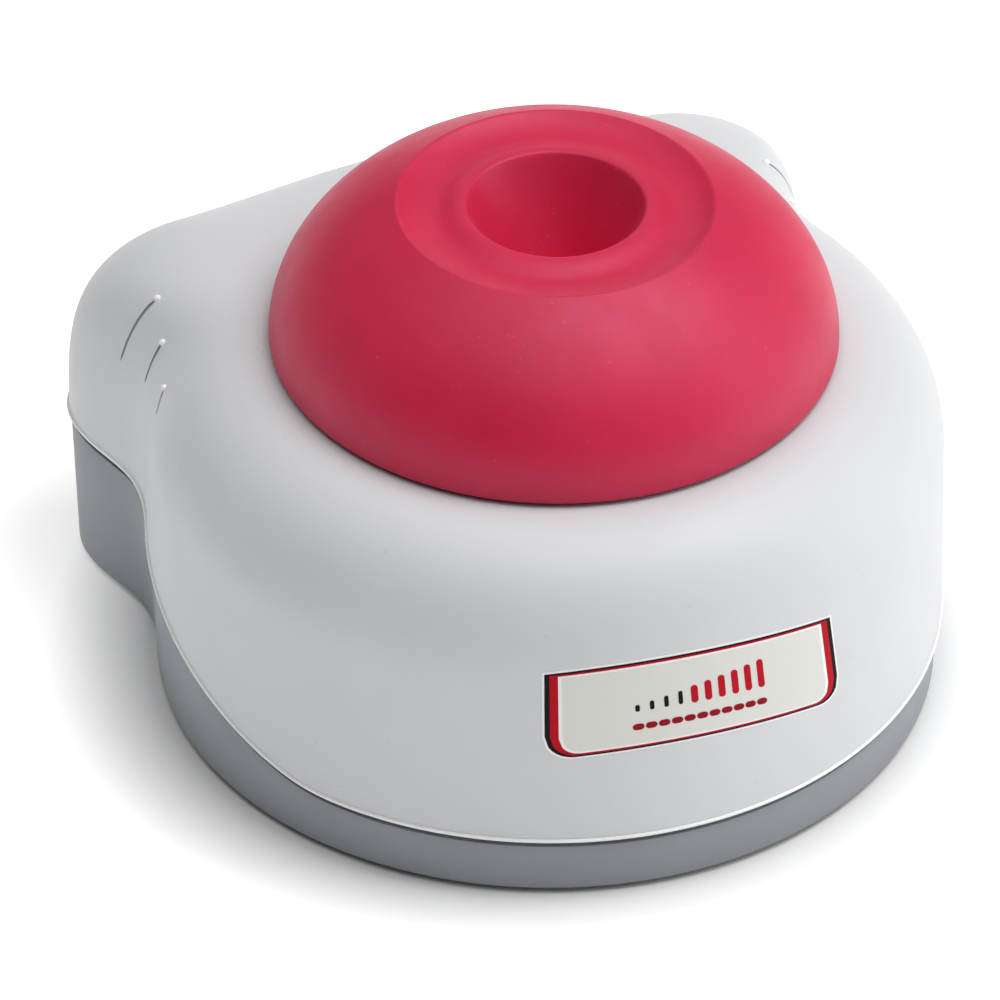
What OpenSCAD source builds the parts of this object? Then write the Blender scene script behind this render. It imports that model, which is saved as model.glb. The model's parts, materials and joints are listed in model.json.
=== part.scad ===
// Touch-operated mini vortex mixer: a rubber head orbits on a crank pin over a two-part housing.
// The head's axis is Z, the front faces -Y, and Z = 0 is the surface that the feet stand on.

/* [Body outline] */
// Radius of the round front of the housing
body_r = 63; // [62:0.5:65]
// Half the distance between the centres of the two rear corners
corner_x = 46.1; // [45:0.1:47]
// Distance of the rear corners' centres behind the head's axis
corner_y = 48.7; // [48:0.1:49.5]
// Radius of the rear corners
corner_r = 15.6; // [15:0.1:16.2]
// Length over which the round front blends into the rear corners
corner_blend = 15.6; // [14:0.1:16.5]

/* [Housing] */
// Wall thickness of both housing halves
wall = 2.4; // [2.2:0.1:2.6]
// Gap between the base's underside and the surface it stands on
foot_gap = 0.8; // [0.6:0.1:1]
// Thickness of the base's floor
floor_t = 2.5; // [2.3:0.1:2.7]
// Height of the seam at the front
seam_z = 10.7; // [10:0.1:11.5]
// How much higher the seam is at the rear
seam_rise = 15.6; // [14:0.1:17]
// Height of the flat top under the head
top_z = 60.8; // [60.6:0.1:61]
// Height at which the front wall starts to round over
front_wall_z = 41.2; // [38:0.2:43]
// Height at which the rear wall starts to round over
rear_wall_z = 28.9; // [28:0.2:31]
// Radius of the opening that the drive comes up through
opening_r = 30; // [29.5:0.1:30.5]
// Inward lean of the upper housing's wall, in degrees
upper_lean = 1.2; // [0.5:0.1:1.5]
// Inward lean of the base's wall towards its foot, in degrees
base_lean = 2.1; // [1:0.1:2.5]

/* [Head] */
// Radius of the rubber head at its rim
head_r = 44.5; // [44:0.1:45]
// Height of the head's dome if it were not cut off by the dish
dome_h = 29.6; // [29:0.1:30]
// Radius of the dish in the top of the head
dish_r = 24.8; // [24:0.1:25.5]
// Depth of the shallow dish round the tube cup
dish_depth = 0.9; // [0.7:0.1:1.1]
// Radius of the tube cup below its rounded mouth
cup_r = 13.7; // [13:0.1:14.2]
// Depth of the tube cup below its mouth
cup_depth = 17; // [16.5:0.1:17.2]
// Thickness of the rubber
rubber_t = 4; // [3.7:0.1:4.1]

/* [Drive] */
// Throw of the crank pin: half the orbit's diameter
throw = 1.2; // [1:0.1:1.5]
// Direction of the throw at rest, in degrees from +X
throw_angle = 25; // [-180:5:180]
// Travel of the head when it is pressed
press_travel = 0.5; // [0.4:0.05:0.5]
// Radius of the motor can
motor_r = 18; // [17.5:0.1:18.5]
// Radius of the motor shaft
shaft_r = 2.5; // [2.4:0.1:2.6]
// Radius of the circle on which the suspension posts stand
post_circle = 44; // [43.5:0.1:44.5]

/* [Hidden] */

$fn = 64;

// Colours
shell_white = [0.86, 0.87, 0.89];
base_grey = [0.50, 0.52, 0.54];
head_red = [0.76, 0.10, 0.20];
label_grey = [0.80, 0.80, 0.77];
rubber_black = [0.10, 0.10, 0.11];
steel = [0.66, 0.67, 0.69];
dark_steel = [0.36, 0.37, 0.39];
brass = [0.80, 0.66, 0.36];
copper = [0.72, 0.42, 0.24];
board_green = [0.08, 0.33, 0.20];
black_plastic = [0.13, 0.13, 0.14];
white_plastic = [0.90, 0.90, 0.87];

// Heights of the housing
floor_z = foot_gap + floor_t;
seam_gap = 0.2;
post_foot_z = 12;

// Angles round the housing, from the front, closer together where the outline turns quickly
angles = concat([for (a = [-90:5:85]) a], [for (a = [90:3:267]) a]);

// Heights of the drive
weight_t = 6;
weight_top = floor_z + weight_t;
boss_top = 28;
plate_z = 38.6;
plate_t = 2.5;
plate_top = plate_z + plate_t;
motor_base_z = 12;
motor_boss_h = 2;
crank_z = 42.2;
crank_top = 49.9;
bearing_z = 50.9;
bearing_w = 7;
bearing_bore = 4;
bearing_od = 11;
ball_r = 1.95;
ball_circle = 7.5;
guide_z = 51.2;
guide_t = 3;
guide_circle = 22;
pin_r = 2;
guide_hole_r = pin_r + throw + 0.15;
standoff_circle = 24.5;
hub_z = 50.3;
hub_r = 13;
carrier_z = 63.2;
carrier_t = 3;
carrier_r = 41.2;

// Heights of the head
dome_z = 61.8;
rim_z = dome_z - 0.2;
crest_z = dome_z + dome_h * sqrt(1 - pow(dish_r / head_r, 2));
dish_z = crest_z - dish_depth;
mouth_z = crest_z - 0.3;

// Places that repeat
throw_at = throw * [cos(throw_angle), sin(throw_angle), 0];
post_angles = [90, 210, 330];
post_r = 2.5;
post_hole_r = 1.75;
bush_r = 3.8;
bush_flange = 1.2;
post_head_r = 4.6;
post_head_z = plate_top + bush_flange + 0.05;
post_head_top = 45.2;
weight_circle = 30;
weight_r = 36;
weight_angles = [30, 150, 270];
pin_angles = [0, 90, 180, 270];
standoff_angles = [45, 135, 225, 315];
front_screw_at = [30, -46];
rear_screw_at = [36, 52];
front_foot_at = [44, -30];
foot_r = 6;
foot_recess = 0.8;
rear_foot_at = [50, 47];
front_post_top = 51.5;
rear_post_top = 55.5;
board_at = [30, 8];
board_size = [22.5, 32, 1.6];
board_z = 12;
board_holes = [[39.5, 12], [49.8, 12], [39.5, 36], [49.8, 36]];
board_top = board_z + board_size[2];
capacitor_at = [46, 18, board_top];
chip_at = [44, 24.5, board_top];
inductor_at = [34, 18, board_top];
header_at = [31.5, 27, board_top];
inlet_x = -22;
inlet_z = 13.5;
inlet_y = 47;
inlet_low_z = 9;
inlet_size = [9, 14.2, 10];
inlet_nose_r = 5.4;
inlet_bore_r = 3.1;
inlet_bore_y = 52;
inlet_face_y = 63.6;
switch_at = [-43, -1, 27.4];
switch_size = [6.4, 20, 9.9];
switch_screw_y = [3.2, 14.8];
switch_screw_z = switch_at[2] + 3;
bracket_x = switch_at[0] - 1.25;
bracket_screw_x = switch_at[0] + 2.4;
bracket_screw_y = [4, 16];
bracket_t = 1.2;
plunger_x = switch_at[0] + 3.2;
plunger_y = 8;
plunger_r = 1.25;

// Screws: the radius of the shank, and of the hole that it turns into and the hole that it passes
housing_screw_r = 1.5;
screw_r = 1.25;
screw_hole_r = 1.3;
screw_pass_r = 1.65;
small_screw_r = 1;
small_hole_r = 1.05;
small_pass_r = 1.2;
// How far a boss starts inside the floor that it stands on
sink = 0.5;

// Motor's insides
motor_screw_circle = 12.5;
motor_screw_angles = [0, 180];
motor_boss_r = 6;
magnet_r = 13.2;
rotor_r = 12.7;
rotor_low = 20.5;
rotor_high = 34.5;
winding_r = 11.4;
commutator_r = 4.3;
pole_angles = [0:72:359];
terminal_y = 14.6;

// Crank and bearing
crank_r = 8;
crank_pin_foot_r = 5.2;
set_screw_r = 1.5;
counterweight_arc = 160;
inner_ring_r = 6;
outer_ring_bore = 9;
clip_r = 11.5;
clip_t = 0.45;
guide_plate_r = 29;
carrier_hole_circle = 31;
carrier_hole_r = 2.2;
pin_depth = 0.8;

// Grip ribs on each rear corner: start, middle and end, as [angle from the front, place on the shoulder]
rib_points = [[[124.9, 59.1], [122.7, 41.1], [122.3, 22.6]],
    [[118.6, 43], [117.4, 31.3], [117.1, 20.5]],
    [[109.9, 33.2], [108.2, 28], [106.8, 23.5]]];
rib_r = 0.55;
rib_steps = 6;

// Label in the front wall: its middle's top edge arches, and its ends droop
label_half_angle = 22.2;
label_top = 45.7;
label_h = 16.4;
label_droop = 0.007;
label_tilt = 0.045;
label_corner_r = 4.5;
label_t = 0.85;
label_proud = 0.08;

// ---- Shape of the housing ----

// Smooth union of two distances, blended over k
function blended(a, b, k) =
    let (h = min(max(0.5 + 0.5 * (b - a) / k, 0), 1))
    b * (1 - h) + a * h - k * h * (1 - h);

// Distance outside the housing's outline: a round front joined to a bar with two round rear corners
function outline_distance(x, y) =
    blended(norm([x, y]) - body_r,
        norm([max(abs(x) - corner_x, 0), y - corner_y]) - corner_r, corner_blend);

// Radius at which the ray at angle a leaves the outline moved inwards by inset
function outline_radius(a, inset, low = 20, high = 110, steps = 26) =
    steps == 0 ? (low + high) / 2 :
    let (middle = (low + high) / 2)
    outline_distance(middle * sin(a), -middle * cos(a)) < -inset
        ? outline_radius(a, inset, middle, high, steps - 1)
        : outline_radius(a, inset, low, middle, steps - 1);

function smooth_step(t) = let (u = min(max(t, 0), 1)) u * u * (3 - 2 * u);
function mix(a, b, t) = a + (b - a) * t;
// Point at s from 0 to 1 on the curve through three points
function between(p, s) = p[0] * (2 * s - 1) * (s - 1) + p[1] * 4 * s * (1 - s) + p[2] * s * (2 * s - 1);
function at_angle(r, a, z) = [r * sin(a), -r * cos(a), z];

// Height of the seam between the two halves: level at the front and rising to the rear
function seam_height(y) =
    let (u = (y + 33) / 80, v = (u + norm([u, 0.06])) / 2)
    seam_z + seam_rise * sin(90 * min(v, 1));
function seam_at(a) = seam_height(-outline_radius(a, 0) * cos(a));

// How much the shoulder at angle a is shaped like the rear's, from 0 to 1
function rear_share(a) = smooth_step((-outline_radius(a, 0) * cos(a) - 18) / 32);
function wall_top(a) = mix(front_wall_z, rear_wall_z, rear_share(a));
function roundness(a) = mix(2.04, 3, rear_share(a));

// Point on the shoulder at angle a: t runs from 0 at the wall to 90 at the flat top
flat_r = 45;
function shoulder_point(a, t, inset = 0) =
    let (n = roundness(a),
        wall_r = outline_radius(a, inset) - tan(upper_lean) * (wall_top(a) - seam_at(a)),
        flat = flat_r - inset / 2,
        top = top_z - inset)
    at_angle(flat + (wall_r - flat) * pow(cos(t), 2 / n), a,
        wall_top(a) + (top - wall_top(a)) * pow(sin(t), 2 / n));

// A closed skin through rings of points, each ring as long as the angles list
module ring_solid(rings, closed) {
    count = len(rings[0]);
    last = len(rings) - 1;
    sides = [for (i = [0:closed ? last : last - 1], j = [0:count - 1])
        let (a = i * count + j, b = i * count + (j + 1) % count, up = ((i + 1) % (last + 1)) * count)
        each [[a, up + j, b], [b, up + j, up + (j + 1) % count]]];
    caps = closed ? [] : [[for (j = [0:count - 1]) j], [for (j = [count - 1:-1:0]) last * count + j]];
    polyhedron([for (ring = rings) each ring], concat(sides, caps), convexity = 8);
}

// A tube of radius r along a path, with flat ends
module swept_tube(path, r, sides = 6) {
    last = len(path) - 1;
    rings = [for (i = [0:last])
        let (ahead = path[min(i + 1, last)] - path[max(i - 1, 0)],
            along = ahead / norm(ahead),
            side = cross(along, abs(along[2]) > 0.8 ? [1, 0, 0] : [0, 0, 1]),
            u = side / norm(side),
            v = cross(along, u))
        [for (j = [0:sides - 1]) path[i] + r * (cos(360 * j / sides) * u + sin(360 * j / sides) * v)]];
    walls = [for (i = [0:last - 1], j = [0:sides - 1])
        let (a = i * sides + j, b = i * sides + (j + 1) % sides)
        each [[a, b, b + sides], [a, b + sides, a + sides]]];
    caps = [[for (j = [sides - 1:-1:0]) j], [for (j = [0:sides - 1]) last * sides + j]];
    polyhedron([for (ring = rings) each ring], concat(walls, caps), convexity = 4);
}

module at_polar(r, list) {
    for (a = list) rotate([0, 0, a]) translate([r, 0, 0]) children();
}

module mirrored_x() {
    children();
    mirror([1, 0, 0]) children();
}

module pipe(r_out, r_in, z0, z1) {
    translate([0, 0, z0]) difference() {
        cylinder(r = r_out, h = z1 - z0);
        translate([0, 0, -1]) cylinder(r = r_in, h = z1 - z0 + 2);
    }
}

module rod(r, z0, z1) {
    translate([0, 0, z0]) cylinder(r = r, h = z1 - z0);
}

// Pan-head screw pointing down, with a cross slot in its head
module screw(shank_r, head_r, z_tip, z_seat, head_h) {
    rod(shank_r, z_tip, z_seat + 0.1);
    difference() {
        rod(head_r, z_seat, z_seat + head_h);
        for (a = [0, 90]) rotate([0, 0, a])
            translate([-head_r * 0.6, -0.3, z_seat + head_h / 2]) cube([head_r * 1.2, 0.6, head_h]);
    }
}

// ---- Housing ----

module upper_housing() {
    lip_h = 1.2;
    lip_t = 1.8;
    outer = concat(
        [[for (a = angles) at_angle(outline_radius(a, 0), a, seam_at(a) + seam_gap / 2)]],
        [for (t = [0, 20, 38, 54, 70, 90]) [for (a = angles) shoulder_point(a, t)]]);
    opening = [for (p = [[opening_r + lip_t, top_z], [opening_r + lip_t - 0.3, top_z + lip_h],
            [opening_r, top_z + lip_h], [opening_r, top_z - wall]])
        [for (a = angles) at_angle(p[0], a, p[1])]];
    inner = concat(
        [for (t = [90, 62, 36, 0]) [for (a = angles) shoulder_point(a, t, wall)]],
        [[for (a = angles) at_angle(outline_radius(a, wall), a, seam_at(a) + seam_gap / 2)]]);
    color(shell_white) difference() {
        union() {
            ring_solid(concat(outer, opening, inner), true);
            mirrored_x() {
                translate(front_screw_at) rod(4, post_foot_z, front_post_top);
                translate(rear_screw_at) rod(4, post_foot_z, rear_post_top);
                for (rib = rib_points)
                    swept_tube([for (i = [0:rib_steps]) let (p = between(rib, i / rib_steps))
                        shoulder_point(p[0], p[1])], rib_r);
            }
        }
        mirrored_x() {
            for (p = [front_screw_at, rear_screw_at])
                translate(p) rod(housing_screw_r + 0.05, post_foot_z - 1, post_foot_z + 14);
        }
        label_solid(2);
    }
}

// Radius of the front wall's outside at angle t on the shoulder, or at the seam when t is below 0
function front_profile(t) =
    t < 0 ? [body_r - tan(upper_lean) * (label_top - label_h - 6 - seam_z), label_top - label_h - 6]
        : let (p = shoulder_point(0, t)) [norm([p[0], p[1]]), p[2]];

// Height of the label's top edge at angle a
function label_edge(a) = label_top - label_tilt * a - label_droop * a * a;

// Outline of the label seen from the front, with two rounded lower corners
module label_outline() {
    steps = [-label_half_angle:label_half_angle / 8:label_half_angle];
    r = body_r - 0.6;
    top = [for (a = steps) [r * sin(a), label_edge(a)]];
    low = [for (a = steps) [r * sin(a), label_edge(a) - label_h]];
    intersection() {
        polygon(concat(top, [for (i = [len(low) - 1:-1:0]) low[i]]));
        offset(r = label_corner_r, $fn = 32) offset(delta = -label_corner_r)
            polygon(concat([for (p = top) p + [0, 2 * label_corner_r]],
                [for (i = [len(low) - 1:-1:0]) low[i]]));
    }
}

// The label's outline wrapped on the front wall, from label_t inside it to this much outside it
module label_solid(outside) {
    profile = [for (t = [-1, 0, 5, 10, 15, 20]) front_profile(t)];
    intersection() {
        rotate([90, 0, 0]) linear_extrude(height = body_r + 10) label_outline();
        rotate([0, 0, -120]) rotate_extrude(angle = 60)
            polygon(concat([for (p = profile) p + [outside, 0]],
                [for (i = [len(profile) - 1:-1:0]) profile[i] - [label_t, 0]]));
    }
}

module label_plate() {
    color(label_grey) label_solid(label_proud);
}

module lower_housing() {
    overhang = 0.4;
    chamfer = 0.7;
    cap_r = 8;
    rings = [
        [for (a = angles) at_angle(cap_r, a, foot_gap)],
        [for (a = angles) at_angle(base_radius(a, foot_gap) - overhang - chamfer, a, foot_gap)],
        [for (a = angles) at_angle(base_radius(a, foot_gap + chamfer) - overhang, a, foot_gap + chamfer)],
        [for (a = angles) at_angle(outline_radius(a, 0) - overhang, a, seam_at(a) - seam_gap / 2)],
        [for (a = angles) at_angle(outline_radius(a, wall), a, seam_at(a) - seam_gap / 2)],
        [for (a = angles) at_angle(outline_radius(a, wall + 0.6), a, floor_z)],
        [for (a = angles) at_angle(cap_r, a, floor_z)]];
    color(base_grey) difference() {
        union() {
            ring_solid(rings, false);
            mirrored_x() {
                translate(front_screw_at) rod(4.5, floor_z - sink, post_foot_z);
                translate(rear_screw_at) rod(4.5, floor_z - sink, post_foot_z);
            }
            at_polar(post_circle, post_angles) rod(5.5, floor_z - sink, boss_top);
            at_polar(weight_circle, weight_angles) rod(4, floor_z - sink, weight_top);
            for (p = board_holes) translate(p) rod(2.5, floor_z - sink, board_z);
            translate([switch_at[0] - 4, switch_at[1] + 1, floor_z - sink])
                cube([10, 18, post_foot_z - floor_z + sink]);
            translate([inlet_x - 5, inlet_y - 1, floor_z - sink])
                cube([10, inlet_size[1] - 0.7, inlet_low_z - floor_z + sink]);
        }
        mirrored_x() {
            for (p = [front_screw_at, rear_screw_at]) translate(p) {
                rod(screw_pass_r, 0, post_foot_z + 1);
                rod(3.3, 0, 5);
            }
            for (p = [front_foot_at, rear_foot_at]) translate(p)
                rod(foot_r + 0.2, 0, foot_gap + foot_recess);
        }
        at_polar(post_circle, post_angles) rod(post_hole_r + 0.05, post_foot_z, boss_top + 1);
        at_polar(weight_circle, weight_angles) rod(screw_hole_r, floor_z, weight_top + 1);
        for (p = board_holes) translate(p) rod(0.9, 6, board_z + 1);
        translate([inlet_x, inlet_face_y - 5.6, inlet_z]) rotate([-90, 0, 0])
            cylinder(r = inlet_nose_r + 0.2, h = 10);
        for (y = bracket_screw_y) translate([bracket_screw_x, y, 0]) rod(small_hole_r, 7, post_foot_z + 1);
    }
}

// Radius of the base's leaning wall at angle a and height z
function base_radius(a, z) = outline_radius(a, 0) - tan(base_lean) * (seam_at(a) - z);

module foot(at) {
    color(rubber_black) translate(at) difference() {
        union() {
            rod(foot_r, foot_gap * 0.5, foot_gap + foot_recess);
            cylinder(r1 = foot_r - 0.6, r2 = foot_r, h = foot_gap * 0.5);
        }
        rod(2, -1, foot_gap);
    }
}
module foot_front_left() { foot([-front_foot_at[0], front_foot_at[1]]); }
module foot_front_right() { foot(front_foot_at); }
module foot_rear_left() { foot([-rear_foot_at[0], rear_foot_at[1]]); }
module foot_rear_right() { foot(rear_foot_at); }

module base_weight() {
    color(dark_steel) difference() {
        translate([0, 0, floor_z]) cylinder(r = weight_r, h = weight_t);
        at_polar(weight_circle, weight_angles) rod(4.3, 0, 20);
    }
}

module weight_screws() {
    color(steel) at_polar(weight_circle, weight_angles) {
        screw(screw_r, 3, floor_z + 1.2, weight_top + 1, 1.6);
        pipe(6.5, screw_r + 0.15, weight_top, weight_top + 1);
    }
}

module housing_screws() {
    color(steel) mirrored_x() for (p = [front_screw_at, rear_screw_at])
        translate(p) mirror([0, 0, 1]) screw(housing_screw_r, 2.9, -post_foot_z - 12, -5, 2.2);
}

// ---- Suspension ----

module suspension_posts() {
    color(steel) at_polar(post_circle, post_angles) {
        rod(post_hole_r, post_foot_z + 2, boss_top + 0.1);
        rod(post_r, boss_top, post_head_z);
        difference() {
            rod(post_head_r, post_head_z, post_head_top);
            translate([0, 0, post_head_top - 1.8]) cylinder(r = 1.8, h = 3, $fn = 6);
        }
    }
}

module suspension_springs() {
    wire_r = 0.35;
    turns = 6;
    per_turn = 12;
    coil_r = 3.5;
    last = turns * per_turn;
    low = boss_top + wire_r + 0.02;
    high = plate_z - wire_r - 0.02;
    color(steel) at_polar(post_circle, post_angles)
        swept_tube([for (i = [0:last])
            let (a = 360 * i / per_turn, s = smooth_step(mix(-0.08, 1.08, i / last)))
            [coil_r * cos(a), coil_r * sin(a), mix(low, high, mix(i / last, s, 0.35))]],
            wire_r, 6);
}

// ---- Electronics ----

module control_board() {
    color(board_green) difference() {
        translate([board_at[0], board_at[1], board_z]) cube(board_size);
        for (p = board_holes) translate(p) rod(1.2, board_z - 1, board_z + 4);
    }
}

module board_screws() {
    color(steel) for (p = board_holes) translate(p)
        screw(0.85, 1.7, board_z - 5, board_top, 1.2);
}

module smoothing_capacitor() {
    color([0.12, 0.16, 0.30]) translate(capacitor_at) {
        cylinder(r = 4, h = 9.4);
        translate([0, 0, 9.3]) cylinder(r1 = 3.8, r2 = 3.4, h = 0.5);
    }
}

module driver_chip() {
    pin_pitch = 1.45;
    color(black_plastic) translate(chip_at + [0, 0, 0.15]) cube([5, 6.2, 1.6]);
    color(steel) for (i = [0:3], x = [-0.9, 4.9])
        translate(chip_at + [x, 0.7 + i * pin_pitch, 0]) cube([1, 0.5, 0.5]);
}

module power_inductor() {
    core_r = 2.8;
    color(dark_steel) translate(inductor_at) difference() {
        cylinder(r = 3.6, h = 4.2);
        pipe(4.5, core_r, 0.9, 3.3);
    }
    color(copper) translate(inductor_at) pipe(3.3, core_r, 0.9, 3.3);
}

module motor_header() {
    color(white_plastic) translate(header_at) difference() {
        cube([5.4, 8, 6]);
        translate([0.8, 0.8, 1.2]) cube([3.8, 6.4, 6]);
    }
    color(brass) for (i = [0, 1]) translate(header_at + [2.38, 2.2 + 3 * i, 1]) cube([0.64, 0.64, 4]);
}

module dc_inlet() {
    nose_h = 3.6;
    color(black_plastic) difference() {
        union() {
            translate([inlet_x - inlet_size[0] / 2, inlet_y, inlet_low_z]) cube(inlet_size);
            translate([inlet_x, inlet_face_y - nose_h, inlet_z]) rotate([-90, 0, 0])
                cylinder(r = inlet_nose_r, h = nose_h);
        }
        translate([inlet_x, inlet_bore_y, inlet_z]) rotate([-90, 0, 0]) cylinder(r = inlet_bore_r, h = 20);
    }
}

module dc_inlet_pin() {
    pin_h = 9;
    color(steel) translate([inlet_x, inlet_bore_y, inlet_z]) rotate([-90, 0, 0]) {
        cylinder(r = 1, h = pin_h);
        translate([0, 0, pin_h - 0.1]) cylinder(r1 = 1, r2 = 0.6, h = 0.6);
    }
}

// ---- Touch switch ----

// Places a child at each of the switch's screws, pointing to +X from plane x
module at_switch_screws(x) {
    for (y = switch_screw_y) translate([x, y, switch_screw_z]) rotate([0, 90, 0]) children();
}

module touch_switch_bracket() {
    depth = 18;
    color(steel) difference() {
        union() {
            translate([bracket_x, 0, post_foot_z]) cube([bracket_t, depth, 24]);
            translate([bracket_x, 0, post_foot_z]) cube([7, depth, bracket_t]);
        }
        for (y = bracket_screw_y) translate([bracket_screw_x, y, 0]) rod(small_pass_r, 10, 20);
        at_switch_screws(bracket_x - 1) cylinder(r = small_hole_r + 0.05, h = 4);
    }
}

module touch_switch_body() {
    color(black_plastic) difference() {
        translate(switch_at) cube(switch_size);
        at_switch_screws(switch_at[0] - 1) cylinder(r = small_hole_r + 0.05, h = 10);
        translate([plunger_x, plunger_y, 0]) rod(plunger_r + 0.1, switch_at[2] + 6, switch_at[2] + 12);
    }
    color(brass) for (y = [2, 8, 14])
        translate([plunger_x - 0.3, y, switch_at[2] - 3.4]) cube([0.6, 2.4, 3.6]);
}

module touch_switch_screws() {
    head_r = 1.9;
    head_h = 1.3;
    color(steel) {
        at_switch_screws(switch_at[0] + switch_size[0])
            screw(small_screw_r, head_r, -switch_size[0] - 2.6, 0, head_h);
        for (y = bracket_screw_y) translate([bracket_screw_x, y, 0])
            screw(small_screw_r, head_r, post_foot_z - 4, post_foot_z + bracket_t, head_h);
    }
}

module touch_switch_plunger() {
    color([0.75, 0.12, 0.10]) translate([plunger_x, plunger_y, 0])
        rod(plunger_r, switch_at[2] + 7, plate_z - 0.1);
}

// ---- Motor carriage ----

module motor_bracket() {
    color(steel) difference() {
        union() {
            rod(guide_plate_r, plate_z, plate_top);
            at_polar(post_circle, post_angles) rod(7.5, plate_z, plate_top);
            for (a = post_angles) rotate([0, 0, a])
                translate([20, -7.5, plate_z]) cube([post_circle - 20, 15, plate_t]);
            translate([switch_at[0] - 1, plunger_y - 5, plate_z]) cube([20, 10, plate_t]);
        }
        rod(motor_boss_r + 0.1, plate_z - 1, plate_top + 1);
        at_polar(post_circle, post_angles) rod(bush_r + 0.02, plate_z - 1, plate_top + 1);
        at_polar(motor_screw_circle, motor_screw_angles) rod(screw_pass_r, plate_z - 1, plate_top + 1);
        at_polar(standoff_circle, standoff_angles) rod(screw_hole_r, plate_z - 1, plate_top + 1);
    }
}

module bracket_bushes() {
    color(white_plastic) at_polar(post_circle, post_angles) {
        pipe(bush_r, post_r + 0.05, plate_z, plate_top + bush_flange);
        pipe(5.5, bush_r - 0.1, plate_top, plate_top + bush_flange);
    }
}

module motor_can() {
    color(steel) difference() {
        union() {
            rod(motor_r, motor_base_z, plate_z);
            rod(motor_boss_r, plate_z - 0.1, plate_z + motor_boss_h);
        }
        rod(motor_r - 1, motor_base_z - 1, plate_z - 1);
        rod(4, plate_z - 2, plate_z + motor_boss_h + 1);
        at_polar(motor_screw_circle, motor_screw_angles) rod(screw_hole_r, plate_z - 3, plate_z + 1);
    }
}

module motor_end_cap() {
    color(black_plastic) difference() {
        union() {
            rod(motor_r - 1.05, motor_base_z, motor_base_z + 2.2);
            rod(motor_boss_r, motor_base_z - 1.1, motor_base_z + 0.1);
            for (side = [-1, 1]) translate([side * 8.6 - 3.6, -2.2, motor_base_z + 2]) cube([7.2, 4.4, 3.9]);
        }
        rod(4, motor_base_z - 0.3, motor_base_z + 8);
        rod(shaft_r + 0.3, motor_base_z - 2, motor_base_z);
        for (side = [-1, 1]) {
            translate([side * 8.6 - 4, -1.3, motor_base_z + 2.9]) cube([8, 2.6, 2.6]);
            translate([-0.5, side * terminal_y - 1.5, motor_base_z - 1]) cube([1, 3, 5]);
        }
    }
}

module motor_terminals() {
    color(brass) for (side = [-1, 1])
        translate([-0.4, side * terminal_y - 1.4, motor_base_z - 1.6]) cube([0.8, 2.8, 5.6]);
}

module motor_magnets() {
    color(dark_steel) for (a = [20, 200]) rotate([0, 0, a])
        rotate_extrude(angle = 140) translate([magnet_r, rotor_low - 0.5])
            square([motor_r - 1.1 - magnet_r, 15]);
}

module motor_brushes() {
    color([0.16, 0.15, 0.15]) for (side = [-1, 1]) difference() {
        translate([side * 8 - 3.6, -1.2, motor_base_z + 3]) cube([7.2, 2.4, 2.4]);
        rod(commutator_r + 0.05, motor_base_z, motor_base_z + 8);
    }
}

module motor_shaft_bushes() {
    color(brass) {
        pipe(3.95, shaft_r + 0.03, motor_base_z - 0.2, motor_base_z + 2.2);
        pipe(3.95, shaft_r + 0.03, plate_z - 1.6, plate_z + motor_boss_h);
    }
}

module motor_screws() {
    color(steel) at_polar(motor_screw_circle, motor_screw_angles)
        screw(screw_r, 2.6, plate_z - 0.95, plate_top, 0.9);
}

module guide_plate() {
    color(white_plastic) difference() {
        rod(guide_plate_r, guide_z, guide_z + guide_t);
        rod(16, guide_z - 1, guide_z + guide_t + 1);
        at_polar(guide_circle, pin_angles) rod(guide_hole_r, guide_z - 1, guide_z + guide_t + 1);
        at_polar(standoff_circle, standoff_angles) rod(screw_pass_r, guide_z - 1, guide_z + guide_t + 1);
    }
}

module plate_standoffs() {
    color(brass) at_polar(standoff_circle, standoff_angles) {
        difference() {
            translate([0, 0, plate_top]) cylinder(r = 3, h = guide_z - plate_top, $fn = 6);
            rod(screw_hole_r, guide_z - 6, guide_z + 1);
        }
        rod(screw_r, plate_z, plate_top + 0.1);
    }
}

module plate_screws() {
    color(steel) at_polar(standoff_circle, standoff_angles)
        screw(screw_r, 2.6, guide_z - 5, guide_z + guide_t, 1.6);
}

// ---- Rotor and crank ----

module motor_shaft() {
    color(steel) {
        rod(shaft_r, motor_base_z - 0.2, crank_top - 1.4);
        translate([0, 0, crank_top - 1.45]) cylinder(r1 = shaft_r, r2 = shaft_r - 0.4, h = 0.4);
    }
}

module rotor_core() {
    color(dark_steel) difference() {
        rod(rotor_r, rotor_low, rotor_high);
        rod(shaft_r, rotor_low - 0.5, rotor_high + 0.5);
        for (a = pole_angles) rotate([0, 0, a]) {
            translate([5.5, -2, rotor_low - 0.5]) cube([5.2, 4, 15]);
            translate([10, -0.7, rotor_low - 0.5]) cube([4, 1.4, 15]);
        }
    }
}

module rotor_windings() {
    color(copper) {
        for (a = pole_angles) rotate([0, 0, a]) translate([5.6, -1.9, rotor_low - 1]) cube([5, 3.8, 16]);
        pipe(winding_r, 4.8, rotor_low - 2.1, rotor_low - 0.05);
        pipe(winding_r, 4.8, rotor_high + 0.05, rotor_high + 2.1);
    }
}

module commutator() {
    color(copper) difference() {
        pipe(commutator_r, shaft_r, motor_base_z + 2.5, motor_base_z + 6);
        for (a = pole_angles) rotate([0, 0, a]) translate([3.6, -0.15, motor_base_z]) cube([2, 0.3, 8]);
    }
}

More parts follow.
